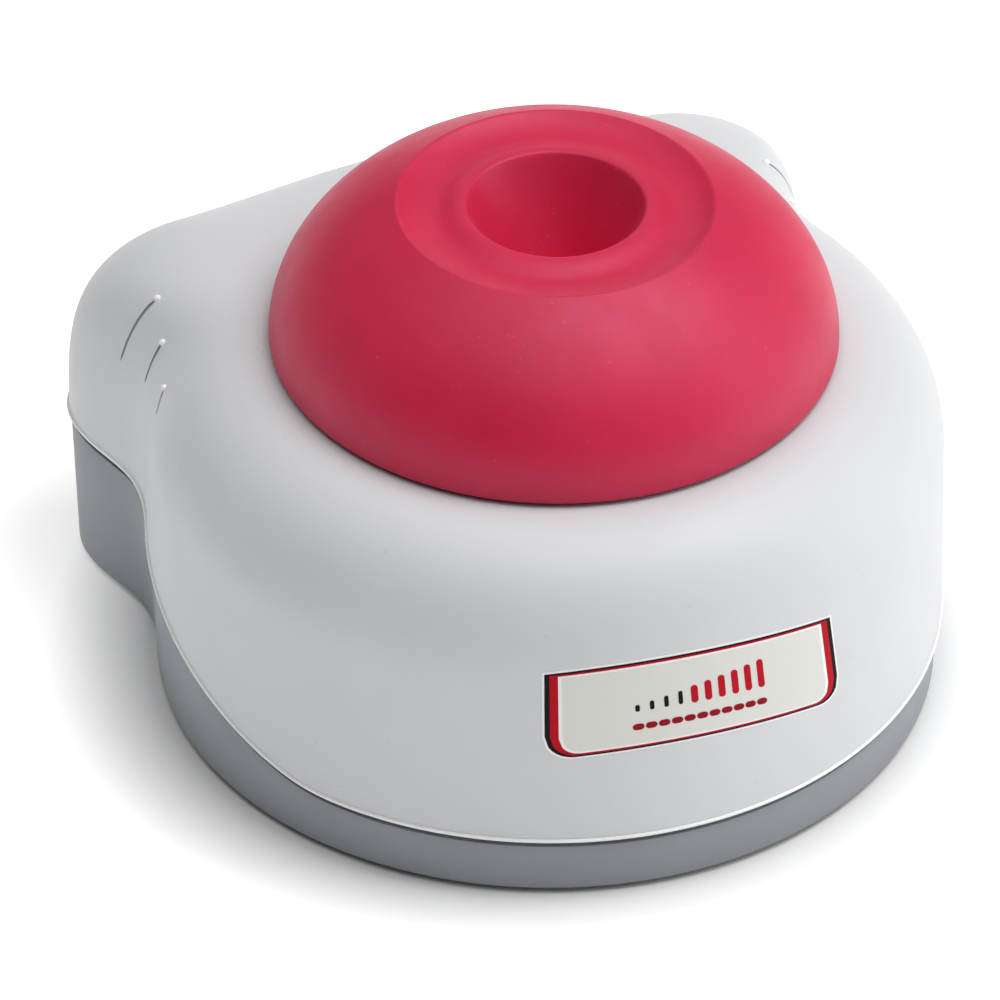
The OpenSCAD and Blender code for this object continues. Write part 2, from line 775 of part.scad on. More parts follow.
module crank() {
    color(steel) difference() {
        union() {
            rod(crank_r, crank_z, crank_top);
            translate(throw_at) rod(crank_pin_foot_r, crank_top - 0.1, bearing_z);
            translate(throw_at) rod(bearing_bore, crank_top, bearing_z + bearing_w - 0.1);
        }
        rod(shaft_r, crank_z - 1, crank_top - 1);
        translate(throw_at) rod(screw_r, crank_top + 1, bearing_z + bearing_w + 1);
        rotate([0, 0, throw_angle]) translate([0, 0, crank_z + 3]) rotate([0, 90, 0])
            cylinder(r = set_screw_r, h = 10);
    }
}

module counterweight() {
    color(brass) rotate([0, 0, throw_angle + 180 - counterweight_arc / 2])
        rotate_extrude(angle = counterweight_arc)
            translate([crank_r, crank_z + 0.3]) square([10, crank_top - crank_z - 0.6]);
}

module crank_set_screw() {
    color(dark_steel) rotate([0, 0, throw_angle]) translate([0, 0, crank_z + 3]) rotate([0, 90, 0])
        difference() {
            translate([0, 0, shaft_r]) cylinder(r = set_screw_r - 0.05, h = 5);
            translate([0, 0, shaft_r + 3.2]) cylinder(r = 0.8, h = 3, $fn = 6);
        }
}

module crank_retainer() {
    z = bearing_z + bearing_w;
    color(steel) translate(throw_at) {
        pipe(5.7, 1.4, z, z + 0.8);
        screw(screw_r - 0.05, 2.6, z - 5, z + 0.8, 1.6);
    }
}

// ---- Head bearing ----

module ball_groove() {
    translate([0, 0, bearing_z + bearing_w / 2]) rotate_extrude()
        translate([ball_circle, 0]) circle(r = ball_r + 0.05, $fn = 32);
}

module bearing_inner_ring() {
    color(steel) translate(throw_at) difference() {
        pipe(inner_ring_r, bearing_bore, bearing_z, bearing_z + bearing_w);
        ball_groove();
    }
}

module bearing_outer_ring() {
    color(steel) translate(throw_at) difference() {
        pipe(bearing_od, outer_ring_bore, bearing_z, bearing_z + bearing_w);
        ball_groove();
    }
}

module bearing_balls() {
    color(dark_steel) translate(throw_at) at_polar(ball_circle, [0:360 / 7:359])
        translate([0, 0, bearing_z + bearing_w / 2]) sphere(r = ball_r, $fn = 32);
}

module bearing_shields() {
    color(steel) translate(throw_at) for (z = [bearing_z + 0.3, bearing_z + bearing_w - 0.6])
        pipe(outer_ring_bore, inner_ring_r + 0.2, z, z + 0.3);
}

module bearing_clip() {
    color(dark_steel) translate(throw_at) difference() {
        pipe(clip_r, 9.6, bearing_z - clip_t, bearing_z);
        translate([0, -2, bearing_z - 2]) cube([14, 4, 4]);
    }
}

// ---- Head ----

module head_carrier() {
    pocket_top = bearing_z + bearing_w;
    color(white_plastic) translate(throw_at) difference() {
        union() {
            rod(hub_r, hub_z, carrier_z + 0.1);
            rod(carrier_r, carrier_z, carrier_z + carrier_t);
        }
        rod(bearing_od, bearing_z, pocket_top);
        rod(clip_r + 0.05, bearing_z - clip_t - 0.05, bearing_z);
        rod(bearing_od, hub_z - 1, bearing_z);
        rod(7.6, pocket_top - 1, pocket_top + 4);
        at_polar(guide_circle, pin_angles) rod(pin_r, carrier_z - 1, carrier_z + carrier_t - pin_depth);
        at_polar(carrier_hole_circle, [15:30:359])
            rod(carrier_hole_r, carrier_z - 1, carrier_z + carrier_t + 1);
    }
}

module guide_pins() {
    color(steel) translate(throw_at) at_polar(guide_circle, pin_angles)
        rod(pin_r, guide_z + 0.4, carrier_z + carrier_t - pin_depth);
}

// Points of an ellipse's quarter arc, from the rim upwards to where it reaches radius r_end
function dome_arc(a, b, r_end, steps) =
    let (end = acos(r_end / a))
    [for (i = [0:steps]) [a * cos(end * i / steps), dome_z + b * sin(end * i / steps)]];

module rubber_head() {
    inner_a = head_r - rubber_t;
    inner_b = dome_h - rubber_t;
    cup_floor = mouth_z - cup_depth;
    cup_floor_r = 4;
    disc_top = carrier_z + carrier_t;
    roof_r = 21;
    profile = concat(
        [[inner_a, rim_z], [head_r - 0.3, rim_z]],
        dome_arc(head_r, dome_h, dish_r, 16),
        [[dish_r - 0.5, crest_z],
            [dish_r - 2.4, dish_z + 0.3],
            [dish_r - 4.6, dish_z],
            [cup_r + 2.2, mouth_z - 0.15],
            [cup_r + 0.7, mouth_z],
            [cup_r, mouth_z - 0.6],
            [cup_floor_r + 2, cup_floor + 1],
            [cup_floor_r, cup_floor],
            [0, cup_floor],
            [0, disc_top],
            [cup_floor_r + 5, disc_top],
            [cup_r + rubber_t, dish_z - rubber_t]],
        [for (i = [8:-1:0]) let (p = dome_arc(inner_a, inner_b, roof_r, 8)[i]) if (p[1] > disc_top + 0.2) p],
        [[carrier_r - 1.2, disc_top + 0.05], [carrier_r + 0.05, disc_top + 0.05],
            [carrier_r + 0.05, carrier_z - 0.05], [inner_a, carrier_z - 0.05]]);
    color(head_red) translate(throw_at) rotate_extrude($fn = 96) polygon(profile);
}

upper_housing();
lower_housing();
label_plate();
base_weight();
weight_screws();
foot_front_left();
foot_front_right();
foot_rear_left();
foot_rear_right();
housing_screws();
suspension_posts();
suspension_springs();
control_board();
board_screws();
smoothing_capacitor();
driver_chip();
power_inductor();
motor_header();
dc_inlet();
dc_inlet_pin();
touch_switch_bracket();
touch_switch_body();
touch_switch_screws();
touch_switch_plunger();
motor_bracket();
bracket_bushes();
motor_can();
motor_end_cap();
motor_terminals();
motor_magnets();
motor_brushes();
motor_shaft_bushes();
motor_screws();
guide_plate();
plate_standoffs();
plate_screws();
motor_shaft();
rotor_core();
rotor_windings();
commutator();
crank();
counterweight();
crank_set_screw();
crank_retainer();
bearing_inner_ring();
bearing_outer_ring();
bearing_balls();
bearing_shields();
bearing_clip();
head_carrier();
guide_pins();
rubber_head();
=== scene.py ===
import json
import math

import bmesh
import bpy
import numpy as np
from mathutils import Matrix, Vector


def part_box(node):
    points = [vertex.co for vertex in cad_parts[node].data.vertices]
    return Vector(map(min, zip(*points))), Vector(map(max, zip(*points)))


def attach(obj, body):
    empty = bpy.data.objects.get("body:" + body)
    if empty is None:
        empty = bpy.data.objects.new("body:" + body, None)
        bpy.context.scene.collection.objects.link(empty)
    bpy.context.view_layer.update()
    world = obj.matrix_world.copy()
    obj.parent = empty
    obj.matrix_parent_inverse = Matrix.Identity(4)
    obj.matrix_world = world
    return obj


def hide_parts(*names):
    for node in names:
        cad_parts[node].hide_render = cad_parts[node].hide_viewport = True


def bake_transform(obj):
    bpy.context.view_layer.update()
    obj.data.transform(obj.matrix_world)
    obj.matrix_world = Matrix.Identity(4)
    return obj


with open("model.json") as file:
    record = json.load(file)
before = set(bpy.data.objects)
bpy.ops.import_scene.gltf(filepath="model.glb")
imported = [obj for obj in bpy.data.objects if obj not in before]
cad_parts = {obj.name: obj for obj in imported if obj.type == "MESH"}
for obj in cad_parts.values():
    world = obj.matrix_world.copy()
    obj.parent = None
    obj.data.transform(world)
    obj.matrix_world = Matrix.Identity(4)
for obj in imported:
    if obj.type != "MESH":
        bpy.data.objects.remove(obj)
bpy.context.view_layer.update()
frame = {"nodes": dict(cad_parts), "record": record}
MM = 0.001

# ---------------------------------------------------------------- sizes, in mm, from the frame
def node_box(name):
    """Lowest and highest corner of a CAD node, in mm."""
    low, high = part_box(name)
    return np.array(low) / MM, np.array(high) / MM


shell_low, shell_high = node_box("upper_housing")
base_low = node_box("lower_housing")[0]
head_low, head_high = node_box("rubber_head")
carrier_low, carrier_high = node_box("head_carrier")
inlet_low, inlet_high = node_box("dc_inlet")
foot_names = ["foot_front_left", "foot_front_right", "foot_rear_left", "foot_rear_right"]

BODY_R = -shell_low[1]          # the round front's radius
CORNER_X = 46.1                 # half the distance between the rear corners' centres
CORNER_Y = 48.7
CORNER_R = 15.6
CORNER_BLEND = 15.6
WALL = 2.4
FOOT_GAP = base_low[2]
FLOOR_Z = FOOT_GAP + 2.5
SEAM_Z = 10.7
SEAM_RISE = 15.6
TOP_Z = shell_high[2] - 1.2     # the flat top, below the opening's lip
FRONT_WALL_Z = 41.2
REAR_WALL_Z = 28.9
FLAT_R = 45.0
FRONT_POWER = 2.04              # how square the shoulder's section is at the front
REAR_POWER = 3.0                # and at the rear
OPENING_R = 30.0
UPPER_LEAN = math.tan(math.radians(1.2))
BASE_LEAN = math.tan(math.radians(2.1))
SCREW_PLACES = [(30, -46), (-30, -46), (36, 52), (-36, 52)]
POST_TOPS = [51.5, 51.5, 55.5, 55.5]

HEAD_AT = (head_low + head_high) / 2 * [1, 1, 0]
HEAD_R = (head_high[0] - head_low[0]) / 2
RIM_Z = head_low[2]
DOME_Z = RIM_Z + 0.2
CREST_Z = head_high[2]
DISH_R = 24.8
DISH_DEPTH = 1.4
DISH_Z = CREST_Z - DISH_DEPTH
MOUTH_Z = CREST_Z - 0.3
CUP_R = 13.7
CUP_DEPTH = 17.0
RUBBER_T = 4.0
DOME_H = (CREST_Z - DOME_Z) / math.sqrt(1 - (DISH_R / HEAD_R) ** 2)


# ---------------------------------------------------------------- mesh tools
def mesh_object(name, points, faces, smooth=True):
    """An object from points in mm and faces."""
    mesh = bpy.data.meshes.new(name)
    mesh.from_pydata([tuple(p) for p in np.asarray(points, float) * MM], [], faces)
    mesh.update()
    obj = bpy.data.objects.new(name, mesh)
    bpy.context.scene.collection.objects.link(obj)
    for polygon in mesh.polygons:
        polygon.use_smooth = smooth
    return obj


def ring_object(name, rings, wrap=False, caps=False):
    """A skin through rings of equally many points.

    wrap joins the last ring to the first, and caps closes both ends.
    """
    rings = np.asarray(rings, float)
    count, size = rings.shape[:2]
    faces = []
    for i in range(count if wrap else count - 1):
        a, b = i * size, ((i + 1) % count) * size
        for j in range(size):
            k = (j + 1) % size
            faces.append((a + j, a + k, b + k, b + j))
    if caps:
        faces.append(tuple(range(size))[::-1])
        faces.append(tuple((count - 1) * size + j for j in range(size)))
    obj = mesh_object(name, rings.reshape(-1, 3), faces)
    outward(obj)
    return obj


def outward(obj):
    """Makes a closed mesh's faces point outwards."""
    bm = bmesh.new()
    bm.from_mesh(obj.data)
    bmesh.ops.recalc_face_normals(bm, faces=bm.faces)
    if bm.calc_volume(signed=True) < 0:
        bmesh.ops.reverse_faces(bm, faces=bm.faces)
    bm.to_mesh(obj.data)
    bm.free()


def sharpen(obj, degrees=32):
    """Keeps edges sharper than this angle crisp under smooth shading."""
    bm = bmesh.new()
    bm.from_mesh(obj.data)
    limit = math.radians(degrees)
    for edge in bm.edges:
        edge.smooth = len(edge.link_faces) == 2 and edge.calc_face_angle(0) < limit
    bm.to_mesh(obj.data)
    bm.free()


def lathe(name, profile, at=(0, 0, 0), count=256):
    """Turns a closed profile of (r, z) points in mm about a vertical axis."""
    angle = np.linspace(0, 2 * math.pi, count, endpoint=False)
    profile = np.asarray(profile, float)
    circle = np.stack([np.cos(angle), np.sin(angle), 0 * angle], -1)
    rings = [circle * r + [0, 0, z] + at for r, z in profile]
    return ring_object(name, rings, wrap=True)


def arc(centre, radius, start, end, steps):
    """Points on an arc, angles in degrees."""
    a = np.radians(np.linspace(start, end, steps))
    return [(centre[0] + radius * math.cos(t), centre[1] + radius * math.sin(t)) for t in a]


def cut(obj, cutters):
    """Subtracts closed objects from obj and removes them."""
    for cutter in cutters:
        modifier = obj.modifiers.new("cut", "BOOLEAN")
        modifier.operation = "DIFFERENCE"
        modifier.solver = "MANIFOLD"
        modifier.object = cutter
    depsgraph = bpy.context.evaluated_depsgraph_get()
    mesh = bpy.data.meshes.new_from_object(obj.evaluated_get(depsgraph))
    obj.modifiers.clear()
    obj.data = mesh
    for cutter in cutters:
        bpy.data.objects.remove(cutter)
    for polygon in obj.data.polygons:
        polygon.use_smooth = True


def rod(name, r, z0, z1, at=(0, 0, 0)):
    """A closed vertical cylinder."""
    a = np.linspace(0, 2 * math.pi, 48, endpoint=False)
    rings = [np.stack([r * np.cos(a), r * np.sin(a), z + 0 * a], -1) + at for z in (z0, z1)]
    return ring_object(name, rings, caps=True)


# ---------------------------------------------------------------- the housing's shape, as in the CAD
def blended(a, b, k):
    """The smaller of two distances, with a rounded join of size k."""
    h = np.clip(0.5 + 0.5 * (b - a) / k, 0, 1)
    return b * (1 - h) + a * h - k * h * (1 - h)


def outline_distance(x, y):
    """How far a point is outside the housing's outline, less than 0 inside."""
    corner = np.hypot(np.maximum(np.abs(x) - CORNER_X, 0), y - CORNER_Y) - CORNER_R
    return blended(np.hypot(x, y) - BODY_R, corner, CORNER_BLEND)


def outline_radius(angle, inset=0.0):
    """The outline's radius at angles from the front, found by halving."""
    low, high = np.full(angle.shape, 20.0), np.full(angle.shape, 110.0)
    for _ in range(30):
        middle = (low + high) / 2
        inside = outline_distance(middle * np.sin(angle), -middle * np.cos(angle)) < -inset
        low, high = np.where(inside, middle, low), np.where(inside, high, middle)
    return (low + high) / 2


def smooth_step(t):
    """0 up to 0, 1 from 1, with a smooth rise between them."""
    t = np.clip(t, 0, 1)
    return t * t * (3 - 2 * t)


def seam_height(angle):
    """Height of the seam, which rises towards the rear shoulders."""
    y = -outline_radius(angle) * np.cos(angle)
    u = (y + 33) / 80
    v = (u + np.hypot(u, 0.06)) / 2
    return SEAM_Z + SEAM_RISE * np.sin(np.radians(90) * np.minimum(v, 1))


def at_angle(r, angle, z):
    """Points at a radius, an angle from the front and a height."""
    return np.stack([r * np.sin(angle), -r * np.cos(angle), z + 0 * angle], -1)


class Outline:
    """The housing's outline sampled at the given angles from the front, in radians."""

    def __init__(self, angle, inset=0.0):
        self.angle = angle
        self.r = outline_radius(angle, inset)
        self.seam = seam_height(angle)
        share = smooth_step((-outline_radius(angle) * np.cos(angle) - 18) / 32)
        self.wall_top = FRONT_WALL_Z + (REAR_WALL_Z - FRONT_WALL_Z) * share
        self.n = FRONT_POWER + (REAR_POWER - FRONT_POWER) * share
        self.inset = inset
        self.wall_r = self.r - UPPER_LEAN * (self.wall_top - self.seam)
        self.flat = FLAT_R - inset / 2

    def wall(self, share):
        """The straight wall: share runs from 0 at the seam to 1 where it starts to round over."""
        z = self.seam + (self.wall_top - self.seam) * share
        return at_angle(self.r + (self.wall_r - self.r) * share, self.angle, z)

    def shoulder(self, t):
        """The shoulder: t runs from 0 degrees at the wall to 90 at the flat top."""
        c, s = math.cos(math.radians(t)), math.sin(math.radians(t))
        r = self.flat + (self.wall_r - self.flat) * max(c, 0) ** (2 / self.n)
        z = self.wall_top + (TOP_Z - self.inset - self.wall_top) * s ** (2 / self.n)
        return at_angle(r, self.angle, z)


def fine_angles(regions, coarse, fine):
    """Angles round the housing in radians: coarse steps in degrees, and fine ones inside the regions."""
    angles, a = [], -180.0
    while a < 180 - 1e-6:
        angles.append(a)
        a += fine if any(low <= a < high for low, high in regions) else coarse
    return np.radians(angles)


# ---------------------------------------------------------------- materials
def principled(name, colour, roughness, **sockets):
    """A material with its node tree and its shader."""
    material = bpy.data.materials.new(name)
    material.use_nodes = True
    shader = material.node_tree.nodes["Principled BSDF"]
    shader.inputs["Base Color"].default_value = (*colour, 1)
    shader.inputs["Roughness"].default_value = roughness
    for socket, value in sockets.items():
        shader.inputs[socket.replace("_", " ")].default_value = value
    return material, material.node_tree, shader


def object_point(tree):
    """Object coordinates in metres, as a vector output."""
    return tree.nodes.new("ShaderNodeTexCoord").outputs["Object"]


def noise(tree, scale, detail=4.0, roughness=0.5):
    """A noise texture's value. scale is in features per metre."""
    node = tree.nodes.new("ShaderNodeTexNoise")
    node.inputs["Scale"].default_value = scale
    node.inputs["Detail"].default_value = detail
    node.inputs["Roughness"].default_value = roughness
    tree.links.new(object_point(tree), node.inputs["Vector"])
    return node.outputs["Fac"]


def ramp(tree, value, stops):
    """Maps a value through (place, colour) stops."""
    node = tree.nodes.new("ShaderNodeValToRGB")
    tree.links.new(value, node.inputs["Fac"])
    elements = node.color_ramp.elements
    while len(elements) < len(stops):
        elements.new(0.5)
    for element, (place, colour) in zip(elements, stops):
        element.position = place
        element.color = (*colour, 1)
    return node.outputs["Color"]


def shade(colour, factor):
    """A colour made darker or lighter."""
    return tuple(min(c * factor, 1) for c in colour)


def map_range(tree, value, low, high, to_low, to_high):
    """Maps a value from one range to another."""
    node = tree.nodes.new("ShaderNodeMapRange")
    for socket, number in zip(("From Min", "From Max", "To Min", "To Max"), (low, high, to_low, to_high)):
        node.inputs[socket].default_value = number
    tree.links.new(value, node.inputs["Value"])
    return node.outputs["Result"]


def bump(tree, shader, layers):
    """Adds bump layers, each (height output, strength, distance in metres)."""
    previous = None
    for height, strength, distance in layers:
        node = tree.nodes.new("ShaderNodeBump")
        node.inputs["Strength"].default_value = strength
        node.inputs["Distance"].default_value = distance
        tree.links.new(height, node.inputs["Height"])
        if previous:
            tree.links.new(previous, node.inputs["Normal"])
        previous = node.outputs["Normal"]
    tree.links.new(previous, shader.inputs["Normal"])


def mixed(tree, a, colour, factor):
    """Mixes a colour output with a plain colour, by a factor output."""
    node = tree.nodes.new("ShaderNodeMix")
    node.data_type = "RGBA"
    colours = [socket for socket in node.inputs if socket.type == "RGBA"]
    tree.links.new(a, colours[0])
    colours[1].default_value = (*colour, 1)
    factors = [s for s in node.inputs if s.name == "Factor" and s.type == "VALUE"]
    tree.links.new(factor, factors[0])
    return [s for s in node.outputs if s.type == "RGBA"][0]


def moulded_plastic(name, colour, roughness=0.4, grain=0.5, specks=0.0, mottling=0.03):
    """Moulded plastic: a fine spark texture, cloudy tone, faint specks and rubbed patches."""
    material, tree, shader = principled(name, colour, roughness, IOR=1.5)
    tones = [(0.3, shade(colour, 1 - mottling)), (0.7, shade(colour, 1 + mottling))]
    cloud = ramp(tree, noise(tree, 40, 3), tones)
    if specks:
        dots = ramp(tree, noise(tree, 900, 2, 0.6), [(0.70, (0, 0, 0)), (0.78, (1, 1, 1))])
        cloud = mixed(tree, cloud, shade(colour, 1 - specks), dots)
    tree.links.new(cloud, shader.inputs["Base Color"])
    rubbed = map_range(tree, noise(tree, 65, 5, 0.6), 0.3, 0.7, roughness - 0.05, roughness + 0.07)
    tree.links.new(rubbed, shader.inputs["Roughness"])
    spark, waves = noise(tree, 5200, 3, 0.6), noise(tree, 700, 2)
    bump(tree, shader, [(spark, grain, 0.00003), (waves, grain * 0.4, 0.00004)])
    return material


def ink(name, colour):
    """Printed ink: nearly matt, with a faint mottle."""
    material, tree, shader = principled(name, colour, 0.5, IOR=1.15)
    tone = ramp(tree, noise(tree, 900, 3), [(0.3, shade(colour, 0.9)), (0.7, shade(colour, 1.08))])
    tree.links.new(tone, shader.inputs["Base Color"])
    bump(tree, shader, [(noise(tree, 3000, 2), 0.15, 0.00002)])
    return material


DUST_ON_RED = (0.85, 0.35, 0.42)
DARK_RUBBER = 0.3               # rubber darker than this shows no dust


def rubber(name, colour, roughness, sheen, sheen_colour, ior=1.48, gloss_tint=(1, 1, 1)):
    """Matte moulded rubber: soft sheen, fine grain, dusty patches."""
    material, tree, shader = principled(name, colour, roughness, IOR=ior)
    shader.inputs["Specular Tint"].default_value = (*gloss_tint, 1)
    shader.inputs["Sheen Weight"].default_value = sheen
    shader.inputs["Sheen Roughness"].default_value = 0.45
    shader.inputs["Sheen Tint"].default_value = (*sheen_colour, 1)
    cloud = ramp(tree, noise(tree, 55, 4, 0.6), [(0.3, shade(colour, 0.92)), (0.7, shade(colour, 1.06))])
    dust = ramp(tree, noise(tree, 1500, 2, 0.5), [(0.72, (0, 0, 0)), (0.8, (0.25, 0.25, 0.25))])
    dusty = mixed(tree, cloud, DUST_ON_RED, dust) if colour[0] > DARK_RUBBER else cloud
    tree.links.new(dusty, shader.inputs["Base Color"])
    handled = map_range(tree, noise(tree, 90, 5, 0.6), 0.3, 0.7, roughness - 0.06, roughness + 0.08)
    tree.links.new(handled, shader.inputs["Roughness"])
    spark, waves = noise(tree, 6000, 3, 0.6), noise(tree, 900, 2)
    bump(tree, shader, [(spark, 0.5, 0.00003), (waves, 0.2, 0.00004)])
    return material


def metal(name, colour, roughness=0.3, brushing=(1, 1, 40), wear=0.12, grain=0.2):
    """Metal with fine directional marks and uneven polish."""
    material, tree, shader = principled(name, colour, roughness, Metallic=1.0)
    scaling = tree.nodes.new("ShaderNodeMapping")
    scaling.inputs["Scale"].default_value = brushing
    tree.links.new(object_point(tree), scaling.inputs["Vector"])
    marks = tree.nodes.new("ShaderNodeTexNoise")
    marks.inputs["Scale"].default_value = 400
    marks.inputs["Detail"].default_value = 5
    tree.links.new(scaling.outputs["Vector"], marks.inputs["Vector"])
    tones = [(0.3, shade(colour, 1 - wear)), (0.7, shade(colour, 1 + wear / 2))]
    tone = ramp(tree, noise(tree, 160, 4), tones)
    tree.links.new(tone, shader.inputs["Base Color"])
    polish = map_range(tree, marks.outputs["Fac"], 0.3, 0.7, roughness - 0.08, roughness + 0.12)
    tree.links.new(polish, shader.inputs["Roughness"])
    bump(tree, shader, [(marks.outputs["Fac"], grain, 0.00002)])
    return material


def wound_wire(name, colour):
    """Lacquered copper wire laid in close turns."""
    material, tree, shader = principled(name, colour, 0.3, Metallic=0.9, Coat_Weight=0.5)
    wave = tree.nodes.new("ShaderNodeTexWave")
    wave.inputs["Scale"].default_value = 900
    wave.inputs["Distortion"].default_value = 1.5
    tree.links.new(object_point(tree), wave.inputs["Vector"])
    turns = ramp(tree, wave.outputs["Fac"], [(0.2, shade(colour, 0.55)), (0.8, colour)])
    tree.links.new(turns, shader.inputs["Base Color"])
    bump(tree, shader, [(wave.outputs["Fac"], 0.6, 0.0001)])
    return material


def laminate(name, colour):
    """Circuit board: solder mask over faint copper areas."""
    material, tree, shader = principled(name, colour, 0.35, Coat_Weight=0.3)
    cells = tree.nodes.new("ShaderNodeTexVoronoi")
    cells.inputs["Scale"].default_value = 260
    cells.distance = "MANHATTAN"
    tree.links.new(object_point(tree), cells.inputs["Vector"])
    tracks = ramp(tree, cells.outputs["Distance"], [(0.45, colour), (0.5, shade(colour, 1.7))])
    tree.links.new(tracks, shader.inputs["Base Color"])
    bump(tree, shader, [(cells.outputs["Distance"], 0.15, 0.00003)])
    return material


SHELL = moulded_plastic("shell_white_plastic", (0.635, 0.645, 0.665), 0.45, 0.5, 0.12, 0.015)
BASE = moulded_plastic("base_grey_plastic", (0.262, 0.28, 0.305), 0.45, 0.8, mottling=0.03)
RED_GLOSS = (0.9, 0.72, 1)
RED = rubber("head_red_rubber", (0.575, 0.006, 0.046), 0.5, 0.03, (1, 0.5, 0.95), 1.58, RED_GLOSS)
# a whiter, glossier white that paints a highlight on the ledge above the seam and on the grip ribs' beads
PAINTED_HIGHLIGHT_WHITE = moulded_plastic("shell_painted_highlight", (0.90, 0.90, 0.91), 0.3, 0.2, 0.0, 0.01)
# a darker grey that paints shade in the grip grooves
GROOVE_PAINTED_SHADE = moulded_plastic("shell_groove_painted_shade", (0.33, 0.34, 0.35), 0.6, 0.5, 0.0, 0.1)
BLACK_RUBBER = rubber("foot_black_rubber", (0.022, 0.022, 0.024), 0.6, 0.1, (0.8, 0.8, 0.8))
BY_SLOT = {
    "shell_white": SHELL,
    "base_grey": BASE,
    "head_rubber": RED,
    "foot_rubber": BLACK_RUBBER,
    "weight_steel": metal("primed_iron", (0.10, 0.105, 0.11), 0.55, wear=0.2, grain=0.5),
    "screw_steel": metal("zinc_plated_steel", (0.55, 0.55, 0.57), 0.28),
    "spring_steel": metal("spring_wire", (0.42, 0.42, 0.44), 0.25),
    "board_green": laminate("circuit_board", (0.012, 0.11, 0.05)),
    "capacitor_sleeve": moulded_plastic("capacitor_sleeve", (0.02, 0.03, 0.09), 0.25, 0.1),
    "black_plastic": moulded_plastic("black_moulded_plastic", (0.018, 0.018, 0.02), 0.4, 0.6),
    "ferrite": metal("sintered_ferrite", (0.05, 0.05, 0.055), 0.6, wear=0.25, grain=0.6),
    "white_plastic": moulded_plastic("white_acetal", (0.74, 0.74, 0.71), 0.35, 0.3),
    "plated_pin": metal("nickel_plating", (0.68, 0.66, 0.62), 0.15, wear=0.05),
    "sheet_steel": metal("zinc_sheet", (0.50, 0.51, 0.53), 0.32, (1, 30, 1)),
    "plunger_red": moulded_plastic("plunger_red_plastic", (0.45, 0.02, 0.015), 0.3, 0.2),
    "brass": metal("turned_brass", (0.62, 0.44, 0.16), 0.25),
    "carbon": moulded_plastic("pressed_carbon", (0.02, 0.019, 0.018), 0.6, 0.9),
    "ground_steel": metal("ground_steel", (0.60, 0.60, 0.62), 0.18, (1, 1, 60), wear=0.06),
    "core_steel": metal("stacked_laminations", (0.16, 0.165, 0.17), 0.45, (1, 1, 90), wear=0.2, grain=0.6),
    "copper": wound_wire("wound_copper_wire", (0.62, 0.24, 0.09)),
    "label": moulded_plastic("label_film", (0.70, 0.695, 0.655), 0.4, 0.1, mottling=0.004),
}


def paint(obj, material):
    """Gives an object one material."""
    obj.data.materials.clear()
    obj.data.materials.append(material)


def finish_piece(obj, body, slot, *replaced, material=None):
    """Paints a piece, rides it on its body and hides the CAD nodes it stands for."""
    paint(obj, material or BY_SLOT[slot])
    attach(obj, body)
    if replaced:
        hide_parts(*replaced)
    return obj


def paint_frame():
    """Gives every CAD node that stays the material of its slot."""
    slots = {s["node"]: s["material_slot"] for s in frame["record"]["subparts"]}
    for name, obj in frame["nodes"].items():
        paint(obj, BY_SLOT[slots[name]])


# ---------------------------------------------------------------- upper housing
# grip ribs: start, middle and end, as (degrees from the front, place on the shoulder)
RIBS = [
    ((124.6, 59.1), (123.0, 40.3), (122.3, 21.8)),
    ((118.45, 43.0), (117.75, 31.0), (117.25, 20.3)),
    ((109.9, 33.2), (108.55, 27.6), (107.1, 22.6)),
]
GROOVE_WIDTHS = (1.0, 1.3, 1.9)
RIB_WIDTH = 0.6
RIB_HEIGHT = 0.12
RIB_SHIFT = -0.5                # degrees from a rib's groove to the ridge beside it
RIB_STEPS = 97                  # points along a rib
# the shell's looks: its own plastic, a painted highlight on the ledge, and painted shade in the grooves
SHELL_LOOKS = ["moulded", "painted_highlight", "painted_shade"]


def shoulder_at(degrees, t):
    """A point in mm on the shoulder."""
    return Outline(np.array([math.radians(degrees)])).shoulder(t)[0]


def rib_places(points, count):
    """Degrees and shoulder places along the curve through a rib's three places."""
    s = np.linspace(0, 1, count)[:, None]
    first, middle, last = np.array(points)
    return first * (2 * s - 1) * (s - 1) + middle * 4 * s * (1 - s) + last * s * (2 * s - 1)


def ridge_line(points):
    """Points in mm along the ridge beside a rib's groove."""
    places = rib_places(points, RIB_STEPS)
    return np.array([shoulder_at(degrees + RIB_SHIFT, t) for degrees, t in places])


def rib_lift(points, lines):
    """How far each point is raised by the ridges near it, in mm."""
    lift = np.zeros(len(points))
    for line in lines:
        near = np.where(np.min(np.linalg.norm(points[:, None] - line[None, ::8], axis=2), axis=1) < 4)[0]
        distance = np.linalg.norm(points[near][:, None] - line[None], axis=2)
        along = distance.argmin(1) / (len(line) - 1)
        across = np.clip(distance.min(1) / RIB_WIDTH, 0, 1)
        lift[near] = np.maximum(lift[near], RIB_HEIGHT * (1 - 0.5 * along) * (1 - across ** 2))
    return lift


def rib_knob(name, points, side):
    """The small bead at the upper end of a rib, in a whiter material that paints a highlight on it."""
    at, outwards = shoulder_frame(*rib_places(points, RIB_STEPS)[1])[:2]
    profile = [(0.0001, -0.5), (0.58, -0.5), (0.58, 0.1), (0.54, 0.3)]
    profile += [(0.42, 0.47), (0.22, 0.57), (0.0001, 0.6)]
    knob = lathe(name, profile, count=24)
    normal = Vector(outwards * [side, 1, 1])
    knob.data.transform(Vector((0, 0, 1)).rotation_difference(normal).to_matrix().to_4x4())
    knob.data.transform(Matrix.Translation(Vector(at * [side, 1, 1]) * MM))
    outward(knob)
    # painted highlight: the bead is in the whiter material
    finish_piece(knob, "housing", "shell_white", material=PAINTED_HIGHLIGHT_WHITE)


def shoulder_frame(degrees, t):
    """A point on the shoulder with the outward direction and the direction across a rib."""
    at = shoulder_at(degrees, t)
    across = shoulder_at(degrees + 0.1, t) - at
    down = shoulder_at(degrees, t - 0.5) - at
    across /= np.linalg.norm(across)
    normal = np.cross(across, down)
    normal /= np.linalg.norm(normal) * (1 if normal[2] > 0 else -1)
    return at, normal, across


